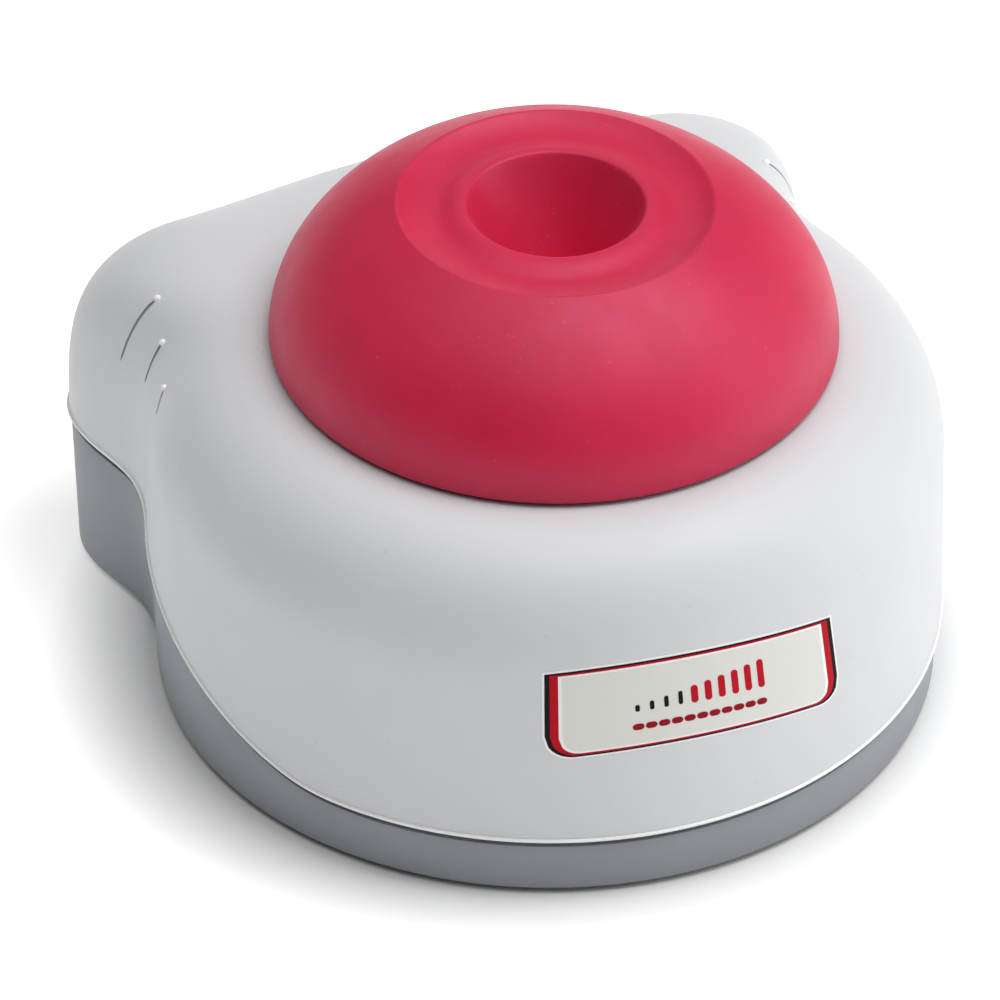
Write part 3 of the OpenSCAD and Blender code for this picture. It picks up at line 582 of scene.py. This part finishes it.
def groove_cutter(points, width, side):
    """A thin tapered tube along a rib, which cuts the dark line at its foot."""
    frames = [shoulder_frame(*place) for place in rib_places(points, 41)[2:]]
    path = np.array([frame[0] for frame in frames])
    along = np.gradient(path, axis=0)
    turn = np.linspace(0, 2 * math.pi, 12, endpoint=False)[:, None]
    rings = []
    for i, (at, normal, _) in enumerate(frames):
        s = i / (len(frames) - 1)
        across = np.cross(normal, along[i])
        across /= np.linalg.norm(across)
        r = 0.37 * (1 - 0.35 * s) * min(1, 0.3 + 8 * min(s, 1 - s))
        ring = at - normal * 0.08 + r * (width * np.cos(turn) * across + 0.85 * np.sin(turn) * normal)
        rings.append(ring * [side, 1, 1])
    return ring_object("cutter", rings, caps=True)


def shade_grooves(shell):
    """Paints shade on the walls of the grip grooves: their faces get a darker grey material."""
    shell.data.materials.append(GROOVE_PAINTED_SHADE)
    centres = np.array([polygon.center for polygon in shell.data.polygons]) / MM
    for points in RIBS:
        frames = [shoulder_frame(*place) for place in rib_places(points, RIB_STEPS)[8:]]
        for side in (-1, 1):
            places = np.array([frame[0] for frame in frames]) * [side, 1, 1]
            normals = np.array([frame[1] for frame in frames]) * [side, 1, 1]
            near = np.where(np.linalg.norm(centres - places[44], axis=1) < 18)[0]
            offset = centres[near][:, None] - places[None]
            nearest = np.linalg.norm(offset, axis=2).argmin(1)
            offset = offset[np.arange(len(near)), nearest]
            depth = (offset * normals[nearest]).sum(1)
            inside = near[(np.linalg.norm(offset, axis=1) < 0.8) & (depth < -0.05)]
            for i in inside:
                # painted shade: these groove faces get the darker grey
                shell.data.polygons[int(i)].material_index = SHELL_LOOKS.index("painted_shade")


def paint_ledge_highlight(shell):
    """Paints a highlight on the ledge above the seam: its faces get a whiter, glossier material."""
    shell.data.materials.append(PAINTED_HIGHLIGHT_WHITE)
    centres = np.array([polygon.center for polygon in shell.data.polygons]) / MM
    angle = np.arctan2(centres[:, 0], -centres[:, 1])
    out = np.hypot(centres[:, 0], centres[:, 1]) - outline_radius(angle)
    up = centres[:, 2] - seam_height(angle)
    for i in np.where((out > 0.1) & (up > 0.3) & (up < 1.0))[0]:
        shell.data.polygons[int(i)].material_index = SHELL_LOOKS.index("painted_highlight")


def shell_outside(outer):
    """Rings of the shell's outside, from the ledge above the seam to the flat top."""
    # a fine ledge along the lower edge, which catches the light above the seam
    ledge = [(-0.45, 0.12), (-0.02, 0.14), (0.2, 0.24), (0.34, 0.42), (0.38, 0.6), (0.34, 0.74)]
    ledge += [(0.22, 0.82), (0.06, 0.86), (0.01, 0.95), (0.0, 1.3)]
    rings = [at_angle(outer.r + out, outer.angle, outer.seam + up) for out, up in ledge]
    rings += [outer.wall(s) for s in (0.08, 0.2, 0.4, 0.6, 0.8)]
    steps = np.concatenate([np.arange(0, 18, 3), np.arange(18, 63, 0.5), np.arange(63, 91, 3)])
    rings += [outer.shoulder(t) for t in steps]
    return np.array(rings)


def with_ridges(body):
    """The shell's outside with a slight ridge beside each grip groove."""
    lines = [ridge_line(points) for points in RIBS]
    lines += [line * [-1, 1, 1] for line in lines]
    around = np.roll(body, -1, 1) - np.roll(body, 1, 1)
    upwards = np.gradient(body, axis=0)
    normal = np.cross(around, upwards)
    normal /= np.maximum(np.linalg.norm(normal, axis=2, keepdims=True), 1e-9)
    flat_points = body.reshape(-1, 3)
    lift = rib_lift(flat_points, lines)[:, None]
    return (flat_points + normal.reshape(-1, 3) * lift).reshape(body.shape)


def shell_opening(angle):
    """Rings of the raised lip round the head's opening."""
    lip = [(40, TOP_Z), (35, TOP_Z), (OPENING_R + 1.8, TOP_Z), (OPENING_R + 1.6, TOP_Z + 0.9)]
    lip += [(OPENING_R + 1.2, TOP_Z + 1.2), (OPENING_R + 0.4, TOP_Z + 1.2)]
    lip += [(OPENING_R, TOP_Z + 0.8), (OPENING_R, TOP_Z - WALL)]
    return [at_angle(r, angle, z) for r, z in lip]


def shell_inside(outer, inner):
    """Rings of the shell's inside, down to the rebate at the seam."""
    rebate_r = outer.r - 1.3
    rings = [inner.shoulder(t) for t in (90, 70, 50, 30, 15, 0)]
    rings.append(at_angle(inner.r, inner.angle, inner.seam + 1.1))
    rings.append(at_angle(rebate_r, inner.angle, inner.seam + 1.1))
    rings.append(at_angle(rebate_r, inner.angle, inner.seam + 0.12))
    return rings


def make_posts():
    """The posts inside the upper housing that take the housing screws."""
    for i, ((x, y), top) in enumerate(zip(SCREW_PLACES, POST_TOPS)):
        profile = [(1.55, 12.0), (3.7, 12.0), (4.0, 12.3), (4.0, top), (1.55, top)]
        post = lathe(f"upper_housing_post_{i + 1}", profile, (x, y, 0), 48)
        sharpen(post)
        finish_piece(post, "housing", "shell_white")


def make_upper_housing():
    """The shell with its ledge, grip grooves, opening and posts."""
    angle = fine_angles([(103, 129), (-129, -103)], 1.0, 0.16)
    outer, inner = Outline(angle), Outline(angle, WALL)
    rings = list(with_ridges(shell_outside(outer)))
    rings += shell_opening(angle) + shell_inside(outer, inner)
    shell = ring_object("upper_housing_shell", rings, wrap=True)
    grooves = [(*groove, side) for groove in zip(RIBS, GROOVE_WIDTHS) for side in (-1, 1)]
    cut(shell, [groove_cutter(*groove) for groove in grooves])
    sharpen(shell, 40)
    finish_piece(shell, "housing", "shell_white", "upper_housing")
    # painted highlight along the ledge above the seam
    paint_ledge_highlight(shell)
    # painted shade in the grip grooves
    shade_grooves(shell)
    for i, points in enumerate(RIBS):
        rib_knob(f"upper_housing_bead_left_{i + 1}", points, -1)
        rib_knob(f"upper_housing_bead_right_{i + 1}", points, 1)
    make_posts()


# ---------------------------------------------------------------- lower housing
BASE_OVERHANG = 0.4             # how far the upper housing stands out past the base
SEAM_GROOVE = 0.95              # the dark gap's height
TONGUE_DEPTH = 1.9              # from the outside to the tongue inside the seam
FOOT_ROUND = 0.9
EDGE_ROUND = 0.25
INLET_CENTRE_Z = 13.5


def base_outside(outline, top):
    """Rings of the base's outside: underside, rounded foot, leaning wall and rounded top edge."""
    angle = outline.angle
    foot_r = outline.r - BASE_LEAN * (outline.seam - FOOT_GAP) - BASE_OVERHANG
    rings = [at_angle(8 + 0 * angle, angle, FOOT_GAP)]
    rings += [at_angle(foot_r * s, angle, FOOT_GAP) for s in (0.5, 0.9)]
    for t in np.radians([0, 22, 45, 68, 90]):
        r = foot_r - FOOT_ROUND * (1 - np.sin(t))
        rings.append(at_angle(r, angle, FOOT_GAP + FOOT_ROUND * (1 - np.cos(t))))
    for s in (0.25, 0.5, 0.75):
        z = FOOT_GAP + FOOT_ROUND + (top - FOOT_GAP - FOOT_ROUND) * s
        rings.append(at_angle(foot_r + (outline.r - BASE_OVERHANG - foot_r) * s, angle, z))
    for t in np.radians([0, 45, 90]):
        r = outline.r - BASE_OVERHANG - EDGE_ROUND * (1 - np.cos(t))
        rings.append(at_angle(r, angle, top - EDGE_ROUND * (1 - np.sin(t))))
    return rings


def base_inside(outline, top):
    """Rings of the base's tongue, inner wall and floor."""
    angle, seam = outline.angle, outline.seam
    inner_r = outline_radius(angle, WALL)
    floor_r = outline_radius(angle, WALL + 0.6)
    tongue_r = outline.r - TONGUE_DEPTH
    rings = [at_angle(tongue_r, angle, top), at_angle(tongue_r, angle, seam + 0.9)]
    rings += [at_angle(inner_r, angle, seam + 0.9), at_angle(inner_r, angle, seam - 2)]
    rings += [at_angle(floor_r, angle, FLOOR_Z), at_angle(8 + 0 * angle, angle, FLOOR_Z)]
    return rings


def base_cutters():
    """The screw holes with their counterbores, the feet's sockets and the inlet's hole."""
    cutters = []
    for x, y in SCREW_PLACES:
        cutters += [rod("cutter", 1.65, -1, 6, (x, y, 0)), rod("cutter", 3.3, -1, 2.6, (x, y, 0))]
    for name in foot_names:
        low, high = node_box(name)
        cutters.append(rod("cutter", 6.25, -1, FOOT_GAP + 0.8, ((low + high) / 2 * [1, 1, 0])))
    inlet = rod("cutter", 5.6, -8, 8)
    inlet.data.transform(Matrix.Rotation(math.radians(90), 4, "X"))
    centre = (inlet_low + inlet_high) / 2
    inlet.data.transform(Matrix.Translation(Vector((centre[0], 64, INLET_CENTRE_Z)) * MM))
    return cutters + [inlet]


def make_lower_housing():
    """The grey base, with the dark gap of the seam above its top edge."""
    outline = Outline(fine_angles([(95, 135), (-135, -95)], 1.0, 0.5))
    top = outline.seam - SEAM_GROOVE
    rings = base_outside(outline, top) + base_inside(outline, top)
    base = ring_object("lower_housing_shell", rings, caps=True)
    cut(base, base_cutters())
    sharpen(base, 35)
    finish_piece(base, "housing", "base_grey", "lower_housing")
    make_base_bosses()


BLOCK_BEVEL = 0.4
SPRING_PLACES_R = 44.0
SPRING_DEGREES = (90, 210, 330)
SPRING_TURNS = 6
SPRING_R = 3.5
SPRING_WIRE_R = 0.35


def polar_places(radius, degrees):
    """Places on a circle, at angles from the right."""
    return [(radius * math.cos(math.radians(a)), radius * math.sin(math.radians(a))) for a in degrees]


def make_base_bosses():
    """The bosses and blocks that stand on the base's floor and carry what is inside."""
    board = [(39.5, 12), (49.8, 12), (39.5, 36), (49.8, 36)]
    kinds = [("corner", SCREW_PLACES, 4.5, 1.65, 12), ("board", board, 2.5, 0.9, 12)]
    kinds += [("spring", polar_places(SPRING_PLACES_R, SPRING_DEGREES), 5.5, 1.8, 28)]
    kinds += [("weight", polar_places(30, (30, 150, 270)), 4.0, 1.3, 9.3)]
    for kind, places, r, bore, top in kinds:
        for i, (x, y) in enumerate(places):
            profile = [(bore, FLOOR_Z - 0.3), (r + 0.25, FLOOR_Z - 0.3), (r + 0.25, FLOOR_Z + 0.2)]
            profile += [(r, FLOOR_Z + 0.6), (r, top - 0.2), (r - 0.2, top), (bore, top)]
            boss = lathe(f"lower_housing_{kind}_boss_{i + 1}", profile, (x, y, 0), 40)
            sharpen(boss)
            finish_piece(boss, "housing", "base_grey")
    block("lower_housing_switch_block", (-47, 0, FLOOR_Z - 0.3), (-37, 18, 12))
    block("lower_housing_inlet_block", (-27, 46, FLOOR_Z - 0.3), (-17, 59.5, 9))


def coil(name, at, low, high):
    """A coil of round wire, wound a little closer at its ends."""
    t = np.linspace(0, 1, SPRING_TURNS * 32 + 1)
    around = 2 * math.pi * SPRING_TURNS * t
    share = 0.65 * t + 0.35 * smooth_step(1.16 * t - 0.08)
    height = low + SPRING_WIRE_R + (high - low - 2 * SPRING_WIRE_R) * share
    outward_way = np.stack([np.cos(around), np.sin(around), 0 * t], -1)
    path = outward_way * SPRING_R + np.stack([at[0] + 0 * t, at[1] + 0 * t, height], -1)
    along = np.gradient(path, axis=0)
    along /= np.linalg.norm(along, axis=1)[:, None]
    across = np.cross(along, outward_way)
    section = np.linspace(0, 2 * math.pi, 12, endpoint=False)[:, None]
    sides = zip(path, outward_way, across)
    rings = [p + SPRING_WIRE_R * (np.cos(section) * u + np.sin(section) * v) for p, u, v in sides]
    return ring_object(name, rings, caps=True)


def make_springs():
    """The carriage's springs, built as fixed coils; the real ones shorten as the carriage goes down."""
    low, high = node_box("suspension_springs")
    for i, at in enumerate(polar_places(SPRING_PLACES_R, SPRING_DEGREES)):
        spring = coil(f"suspension_spring_{i + 1}", at, low[2], high[2])
        paint(spring, BY_SLOT["spring_steel"])
        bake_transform(spring)
        if i == 0:
            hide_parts("suspension_springs")


def block(name, low, high):
    """A block with bevelled edges."""
    points = [(x, y, z) for x in (low[0], high[0]) for y in (low[1], high[1]) for z in (low[2], high[2])]
    faces = [(0, 1, 3, 2), (4, 6, 7, 5), (0, 4, 5, 1), (2, 3, 7, 6), (0, 2, 6, 4), (1, 5, 7, 3)]
    obj = mesh_object(name, points, faces)
    bm = bmesh.new()
    bm.from_mesh(obj.data)
    edges = list(bm.edges)
    bmesh.ops.bevel(bm, geom=edges, offset=BLOCK_BEVEL * MM, segments=2, profile=0.6, affect="EDGES")
    bm.to_mesh(obj.data)
    bm.free()
    outward(obj)
    sharpen(obj)
    return finish_piece(obj, "housing", "base_grey")


# ---------------------------------------------------------------- rubber head
def dome_arc(a, b, end_r, steps):
    """An ellipse's quarter from the rim up to where its radius is end_r."""
    end = math.acos(end_r / a)
    return [(a * math.cos(t), DOME_Z + b * math.sin(t)) for t in np.linspace(0, end, steps)]


def dish_profile():
    """From the crest over the shallow dish to the cup's rounded mouth and down the cup."""
    points = [(DISH_R + 0.22, CREST_Z - 0.09), (DISH_R, CREST_Z - 0.01), (DISH_R - 0.25, CREST_Z - 0.04)]
    for s in np.linspace(0.05, 1, 14):
        points.append((DISH_R - 0.3 - 5.4 * s, DISH_Z + (DISH_DEPTH - 0.06) * (1 - s) ** 2.2))
    low_r, lip_r = DISH_R - 5.7, CUP_R + 0.9
    for s in np.linspace(0.15, 1, 8):
        rise = (1 - math.cos(math.pi * s)) / 2
        points.append((low_r + (lip_r - low_r) * s, DISH_Z + (MOUTH_Z - DISH_Z) * rise))
    points += arc((CUP_R + 0.62, MOUTH_Z - 0.7), 0.7, 80, 150, 8)
    cup_z = MOUTH_Z - CUP_DEPTH
    start = points[-1]
    for s in np.linspace(0.08, 1, 14):
        points.append((start[0] + (5.2 - start[0]) * s, start[1] + (cup_z + 1.2 - start[1]) * s))
    return points + [(4.5, cup_z + 0.5), (3.8, cup_z + 0.12), (2.6, cup_z), (0.4, cup_z)]


def head_profile(disc_top, disc_low, disc_r):
    """The rubber's section: rim, dome, dish and cup, then back under them to the carrier's disc."""
    inner_a, inner_b = HEAD_R - RUBBER_T, DOME_H - RUBBER_T
    profile = [(inner_a, RIM_Z + 0.2), (inner_a + 0.2, RIM_Z), (HEAD_R - 0.5, RIM_Z)]
    profile += arc((HEAD_R - 0.35, RIM_Z + 0.35), 0.35, -80, 0, 6)
    profile += [p for p in dome_arc(HEAD_R, DOME_H, DISH_R + 0.5, 60) if p[1] > RIM_Z + 0.4]
    profile += dish_profile()
    profile += [(0.4, disc_top + 0.02), (9, disc_top + 0.02), (CUP_R + RUBBER_T, DISH_Z - RUBBER_T)]
    profile += [p for p in dome_arc(inner_a, inner_b, 21, 16)[::-1] if p[1] > disc_top + 0.3]
    profile += [(disc_r - 1.2, disc_top + 0.05), (disc_r + 0.05, disc_top + 0.05)]
    return profile + [(disc_r + 0.05, disc_low - 0.05), (inner_a, disc_low - 0.05)]


def make_rubber_head():
    """The dome, its dish and the conical cup, in one rubber moulding on the carrier's disc."""
    disc_top, disc_low = carrier_high[2], carrier_high[2] - 3
    disc_r = (carrier_high[0] - carrier_low[0]) / 2
    head = lathe("rubber_head_dome", head_profile(disc_top, disc_low, disc_r), HEAD_AT, 360)
    sharpen(head, 50)
    finish_piece(head, "head", "head_rubber", "rubber_head")
    # the middle of the cup's floor, which closes the turned section's axis
    top, low = MOUTH_Z - CUP_DEPTH, disc_top + 0.02
    profile = [(0.0001, top), (0.41, top), (0.41, low), (0.0001, low)]
    plug = lathe("rubber_head_cup_floor", profile, HEAD_AT, 24)
    finish_piece(plug, "head", "head_rubber")


# ---------------------------------------------------------------- label
LABEL_HALF = math.radians(22.2) * BODY_R      # half its width along the wall
LABEL_TOP = 44.6
LABEL_H = 16.4
LABEL_SLANT = 0.09              # how far its rows move right for each mm down
LABEL_FAN = 0.003               # and how much more than that away from its middle
INK_LIFT = 0.2
STROKE_STEP = 0.45
BAR_FOOT = 8.9
BAR_TOP = 8.3                   # the first bar's top; the others rise from there
DARK_BARS = 4
FRONT = Outline(np.array([0.0]))


def front_wall_r(z):
    """Radius of the front wall's outside at height z."""
    if z <= FRONT_WALL_Z:
        return BODY_R - UPPER_LEAN * (z - FRONT.seam[0])
    u = (z - FRONT_WALL_Z) / (TOP_Z - FRONT_WALL_Z)
    return FLAT_R + (FRONT.wall_r[0] - FLAT_R) * (1 - u ** FRONT_POWER) ** (1 / FRONT_POWER)


def on_label(u, v, lift):
    """A point u mm right of the label's middle and v mm below its top edge, lifted off the wall."""
    u += v * (LABEL_SLANT + LABEL_FAN * u)
    degrees = math.degrees(u / BODY_R)
    z = LABEL_TOP - 0.045 * degrees - 0.0046 * degrees ** 2 - v
    a = u / BODY_R
    r = front_wall_r(z) + lift
    return (r * math.sin(a), -r * math.cos(a), z)


def label_layer(name, side, top, low, corner, lift, material):
    """A sheet as large as the label less these margins, with rounded lower corners, wrapped on the wall."""
    half = LABEL_HALF - side
    columns, rows = 90, 28
    points = []
    for u in np.linspace(-half, half, columns):
        past = max(abs(u) - (half - corner), 0)
        foot = LABEL_H - low - corner + math.sqrt(max(corner ** 2 - past ** 2, 0))
        points += [on_label(u, top + (foot - top) * k / (rows - 1), lift) for k in range(rows)]
    return wrapped(name, points, columns, rows, lift, material)


def wrapped(name, points, columns, rows, lift, material):
    """A thin closed sheet from a grid of points on the wall."""
    n = len(points)
    for x, y, z in points[:]:
        scale = 1 - (lift + 0.1) / math.hypot(x, y)
        points.append((x * scale, y * scale, z))
    faces = []
    for i in range(columns - 1):
        for k in range(rows - 1):
            a, b = i * rows + k, (i + 1) * rows + k
            faces += [(a, b, b + 1, a + 1), (n + a, n + a + 1, n + b + 1, n + b)]
    rim = [i * rows for i in range(columns)] + [(columns - 1) * rows + k for k in range(1, rows)]
    rim += [i * rows + rows - 1 for i in range(columns - 2, -1, -1)] + list(range(rows - 2, 0, -1))
    faces += [(a, n + a, n + b, b) for a, b in zip(rim, rim[1:] + rim[:1])]
    obj = mesh_object(name, points, faces)
    outward(obj)
    sharpen(obj, 40)
    return finish_piece(obj, "housing", "label", material=material)


def resampled(path):
    """The same path with its points close enough to follow the wall's curve."""
    points = [np.array(path[0], float)]
    for p in path[1:]:
        p = np.array(p, float)
        count = max(1, math.ceil(np.linalg.norm(p - points[-1]) / STROKE_STEP))
        start = points[-1]
        points += [start + (p - start) * k / count for k in range(1, count + 1)]
    return points


def label_stroke(name, path, width, material):
    """A printed line along a path of (u, v) points on the label, with round ends."""
    path = resampled(path)
    first, last = path[0] - path[1], path[-1] - path[-2]
    first, last = first / np.linalg.norm(first), last / np.linalg.norm(last)
    caps = [(1.0, 0.08), (0.92, 0.4), (0.7, 0.71), (0.38, 0.92)]
    stations = [(path[0] + first * width / 2 * c, share) for c, share in caps]
    stations += [(p, 1.0) for p in path]
    stations += [(path[-1] + last * width / 2 * c, share) for c, share in caps[::-1]]
    points = []
    for i, (at, share) in enumerate(stations):
        ahead = stations[min(i + 1, len(stations) - 1)][0] - stations[max(i - 1, 0)][0]
        side = np.array([-ahead[1], ahead[0]]) / np.linalg.norm(ahead)
        half = side * share * width / 2
        points += [on_label(*(at + half * w), INK_LIFT) for w in (-1, -0.33, 0.33, 1)]
    return wrapped(name, points, len(stations), 4, INK_LIFT, material)


def make_label():
    """A film label on the front: a dark and a red border round a pale panel with a plain symbol."""
    dark = ink("label_dark_ink", (0.010, 0.007, 0.009))
    red = ink("label_red_ink", (0.50, 0.004, 0.016))
    deep_red = ink("label_deep_red_ink", (0.30, 0.004, 0.014))
    white = moulded_plastic("label_white_film", (0.86, 0.86, 0.86), 0.3, 0.1, mottling=0.004)
    film = label_layer("label_film", -0.35, -0.35, -0.35, 4.9, 0.05, white)
    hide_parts("label_plate")
    label_layer("label_border_dark", 0, 0, 0, 4.6, 0.08, dark)
    label_layer("label_border_red", 0.8, 0.32, 0.34, 4.0, 0.11, red)
    label_layer("label_margin", 2.1, 0.62, 0.66, 3.2, 0.14, white)
    label_layer("label_panel", 2.65, 0.98, 1.02, 2.8, 0.17, BY_SLOT["label"])
    make_scale(dark, red)
    for i in range(11):
        u = -10.4 + 2.0 * i
        label_stroke(f"label_dot_{i + 1}", [(u - 0.3, 12.2), (u + 0.3, 12.2)], 1.2, deep_red)


def make_scale(dark, red):
    """A rising scale of printed bars, a plain symbol for the mixing speed."""
    for i in range(10):
        u = -10.4 + 2.25 * i
        bar = [(u, BAR_FOOT), (u, BAR_TOP - 0.42 * i)]
        width, colour = (0.7, dark) if i < DARK_BARS else (1.15, red)
        label_stroke(f"label_bar_{i + 1}", bar, width, colour)


# ---------------------------------------------------------------- feet
def make_feet():
    """Round rubber feet with a ring of grooves underneath."""
    for name in foot_names:
        low, high = node_box(name)
        centre = (low + high) / 2 * [1, 1, 0]
        top = high[2]
        profile = [(2.0, 0.35), (2.3, 0.0), (3.2, 0.0), (3.4, 0.25), (3.8, 0.25), (4.0, 0.0)]
        profile += [(5.0, 0.0), (5.5, 0.12), (5.9, 0.5), (6.0, 0.8), (6.0, top), (2.0, top)]
        foot = lathe(f"{name}_pad", profile, centre, 64)
        sharpen(foot, 40)
        finish_piece(foot, "housing", "foot_rubber", name)


# ---------------------------------------------------------------- stage
CAMERA_AZIMUTH = math.radians(21.96)
CAMERA_ELEVATION = math.radians(37.37)
CAMERA_ROLL = math.radians(0.65)
CAMERA_DISTANCE = 1.5
CAMERA_LENS = 342.96
CAMERA_PAN = (-0.00727, -0.00537)


def make_camera():
    """A long lens, looking down at the front from the left."""
    a, e = CAMERA_AZIMUTH, CAMERA_ELEVATION
    right = Vector((math.cos(a), -math.sin(a), 0))
    forward = Vector((math.cos(e) * math.sin(a), math.cos(e) * math.cos(a), -math.sin(e)))
    up = right.cross(forward)
    target = Vector((0, 0, 0.035 + FOOT_GAP * MM)) + CAMERA_PAN[0] * right + CAMERA_PAN[1] * up
    c, s = math.cos(CAMERA_ROLL), math.sin(CAMERA_ROLL)
    right_rolled, up_rolled = c * right + s * up, c * up - s * right
    data = bpy.data.cameras.new("camera")
    data.sensor_width = 36
    data.lens = CAMERA_LENS
    data.clip_start, data.clip_end = 0.1, 20
    camera = bpy.data.objects.new("camera", data)
    bpy.context.scene.collection.objects.link(camera)
    basis = Matrix((right_rolled, up_rolled, -forward)).transposed().to_4x4()
    camera.matrix_world = Matrix.Translation(target - CAMERA_DISTANCE * forward) @ basis
    bpy.context.scene.camera = camera


# soft boxes round the object: (degrees round from behind the camera towards its right, elevation, watts)
LIGHTS = [
    (90, 12, 3.4),
    (135, 12, 0.8),
    (180, 12, 1.8),
    (225, 12, 0.35),
    (270, 12, 0.5),
    (45, 40, 1.1),
    (90, 40, 2.6),
    (225, 40, 0.5),
    (270, 40, 0.5),
    (0, 68, 2.7),
    (90, 68, 8.6),
    (180, 68, 2.3),
    (270, 68, 2.0),
]
LIGHT_DISTANCE = 1.3
LIGHT_SIZE = 0.7
LIGHT_TARGET = Vector((0, 0, 0.04))
WORLD_STRENGTH = 0.04
FLOOR_SIZE = 6000
GLOW_START, GLOW_END = 0.063, 0.08      # metres from the object's middle
GLOW_STRENGTH = 0.42


def soft_box(name, azimuth, elevation, watts):
    """A square lamp that faces the object."""
    data = bpy.data.lights.new(name, "AREA")
    data.size = LIGHT_SIZE
    data.energy = watts
    light = bpy.data.objects.new(name, data)
    bpy.context.scene.collection.objects.link(light)
    a, e = math.radians(azimuth) - CAMERA_AZIMUTH, math.radians(elevation)
    away = Vector((math.sin(a) * math.cos(e), -math.cos(a) * math.cos(e), math.sin(e)))
    light.location = LIGHT_TARGET + LIGHT_DISTANCE * away
    light.rotation_euler = (-away).to_track_quat("-Z", "Y").to_euler()


def make_floor():
    """A pale paper floor that glows as painted light away from the object."""
    sides = [(-1, -1), (1, -1), (1, 1), (-1, 1)]
    points = [(FLOOR_SIZE * x, FLOOR_SIZE * y, 0) for x, y in sides]
    floor = mesh_object("floor", points, [(0, 1, 2, 3)], smooth=False)
    material, tree, shader = principled("floor_paper", (0.90, 0.90, 0.90), 0.9)
    tone = ramp(tree, noise(tree, 3, 2), [(0.3, (0.89, 0.89, 0.89)), (0.7, (0.91, 0.91, 0.91))])
    tree.links.new(tone, shader.inputs["Base Color"])
    # painted light: the floor glows, from nothing within GLOW_START of the object's middle to full strength
    # at GLOW_END, so that it stays white beside the object
    shader.inputs["Emission Color"].default_value = (1, 1, 1, 1)
    distance = tree.nodes.new("ShaderNodeVectorMath")
    distance.operation = "LENGTH"
    tree.links.new(object_point(tree), distance.inputs[0])
    glow = map_range(tree, distance.outputs["Value"], GLOW_START, GLOW_END, 0, GLOW_STRENGTH)
    tree.links.new(glow, shader.inputs["Emission Strength"])
    paint(floor, material)


def make_stage():
    """The floor, the faint light of the room and the soft boxes."""
    make_floor()
    world = bpy.data.worlds.new("studio")
    bpy.context.scene.world = world
    world.use_nodes = True
    background = world.node_tree.nodes["Background"]
    background.inputs["Color"].default_value = (1, 1, 1, 1)
    background.inputs["Strength"].default_value = WORLD_STRENGTH
    for i, (azimuth, elevation, watts) in enumerate(LIGHTS):
        soft_box(f"soft_box_{i + 1}", azimuth, elevation, watts)
    bpy.context.scene.view_settings.view_transform = "Standard"


paint_frame()
make_upper_housing()
make_lower_housing()
make_rubber_head()
make_springs()
make_label()
make_feet()
make_stage()
make_camera()
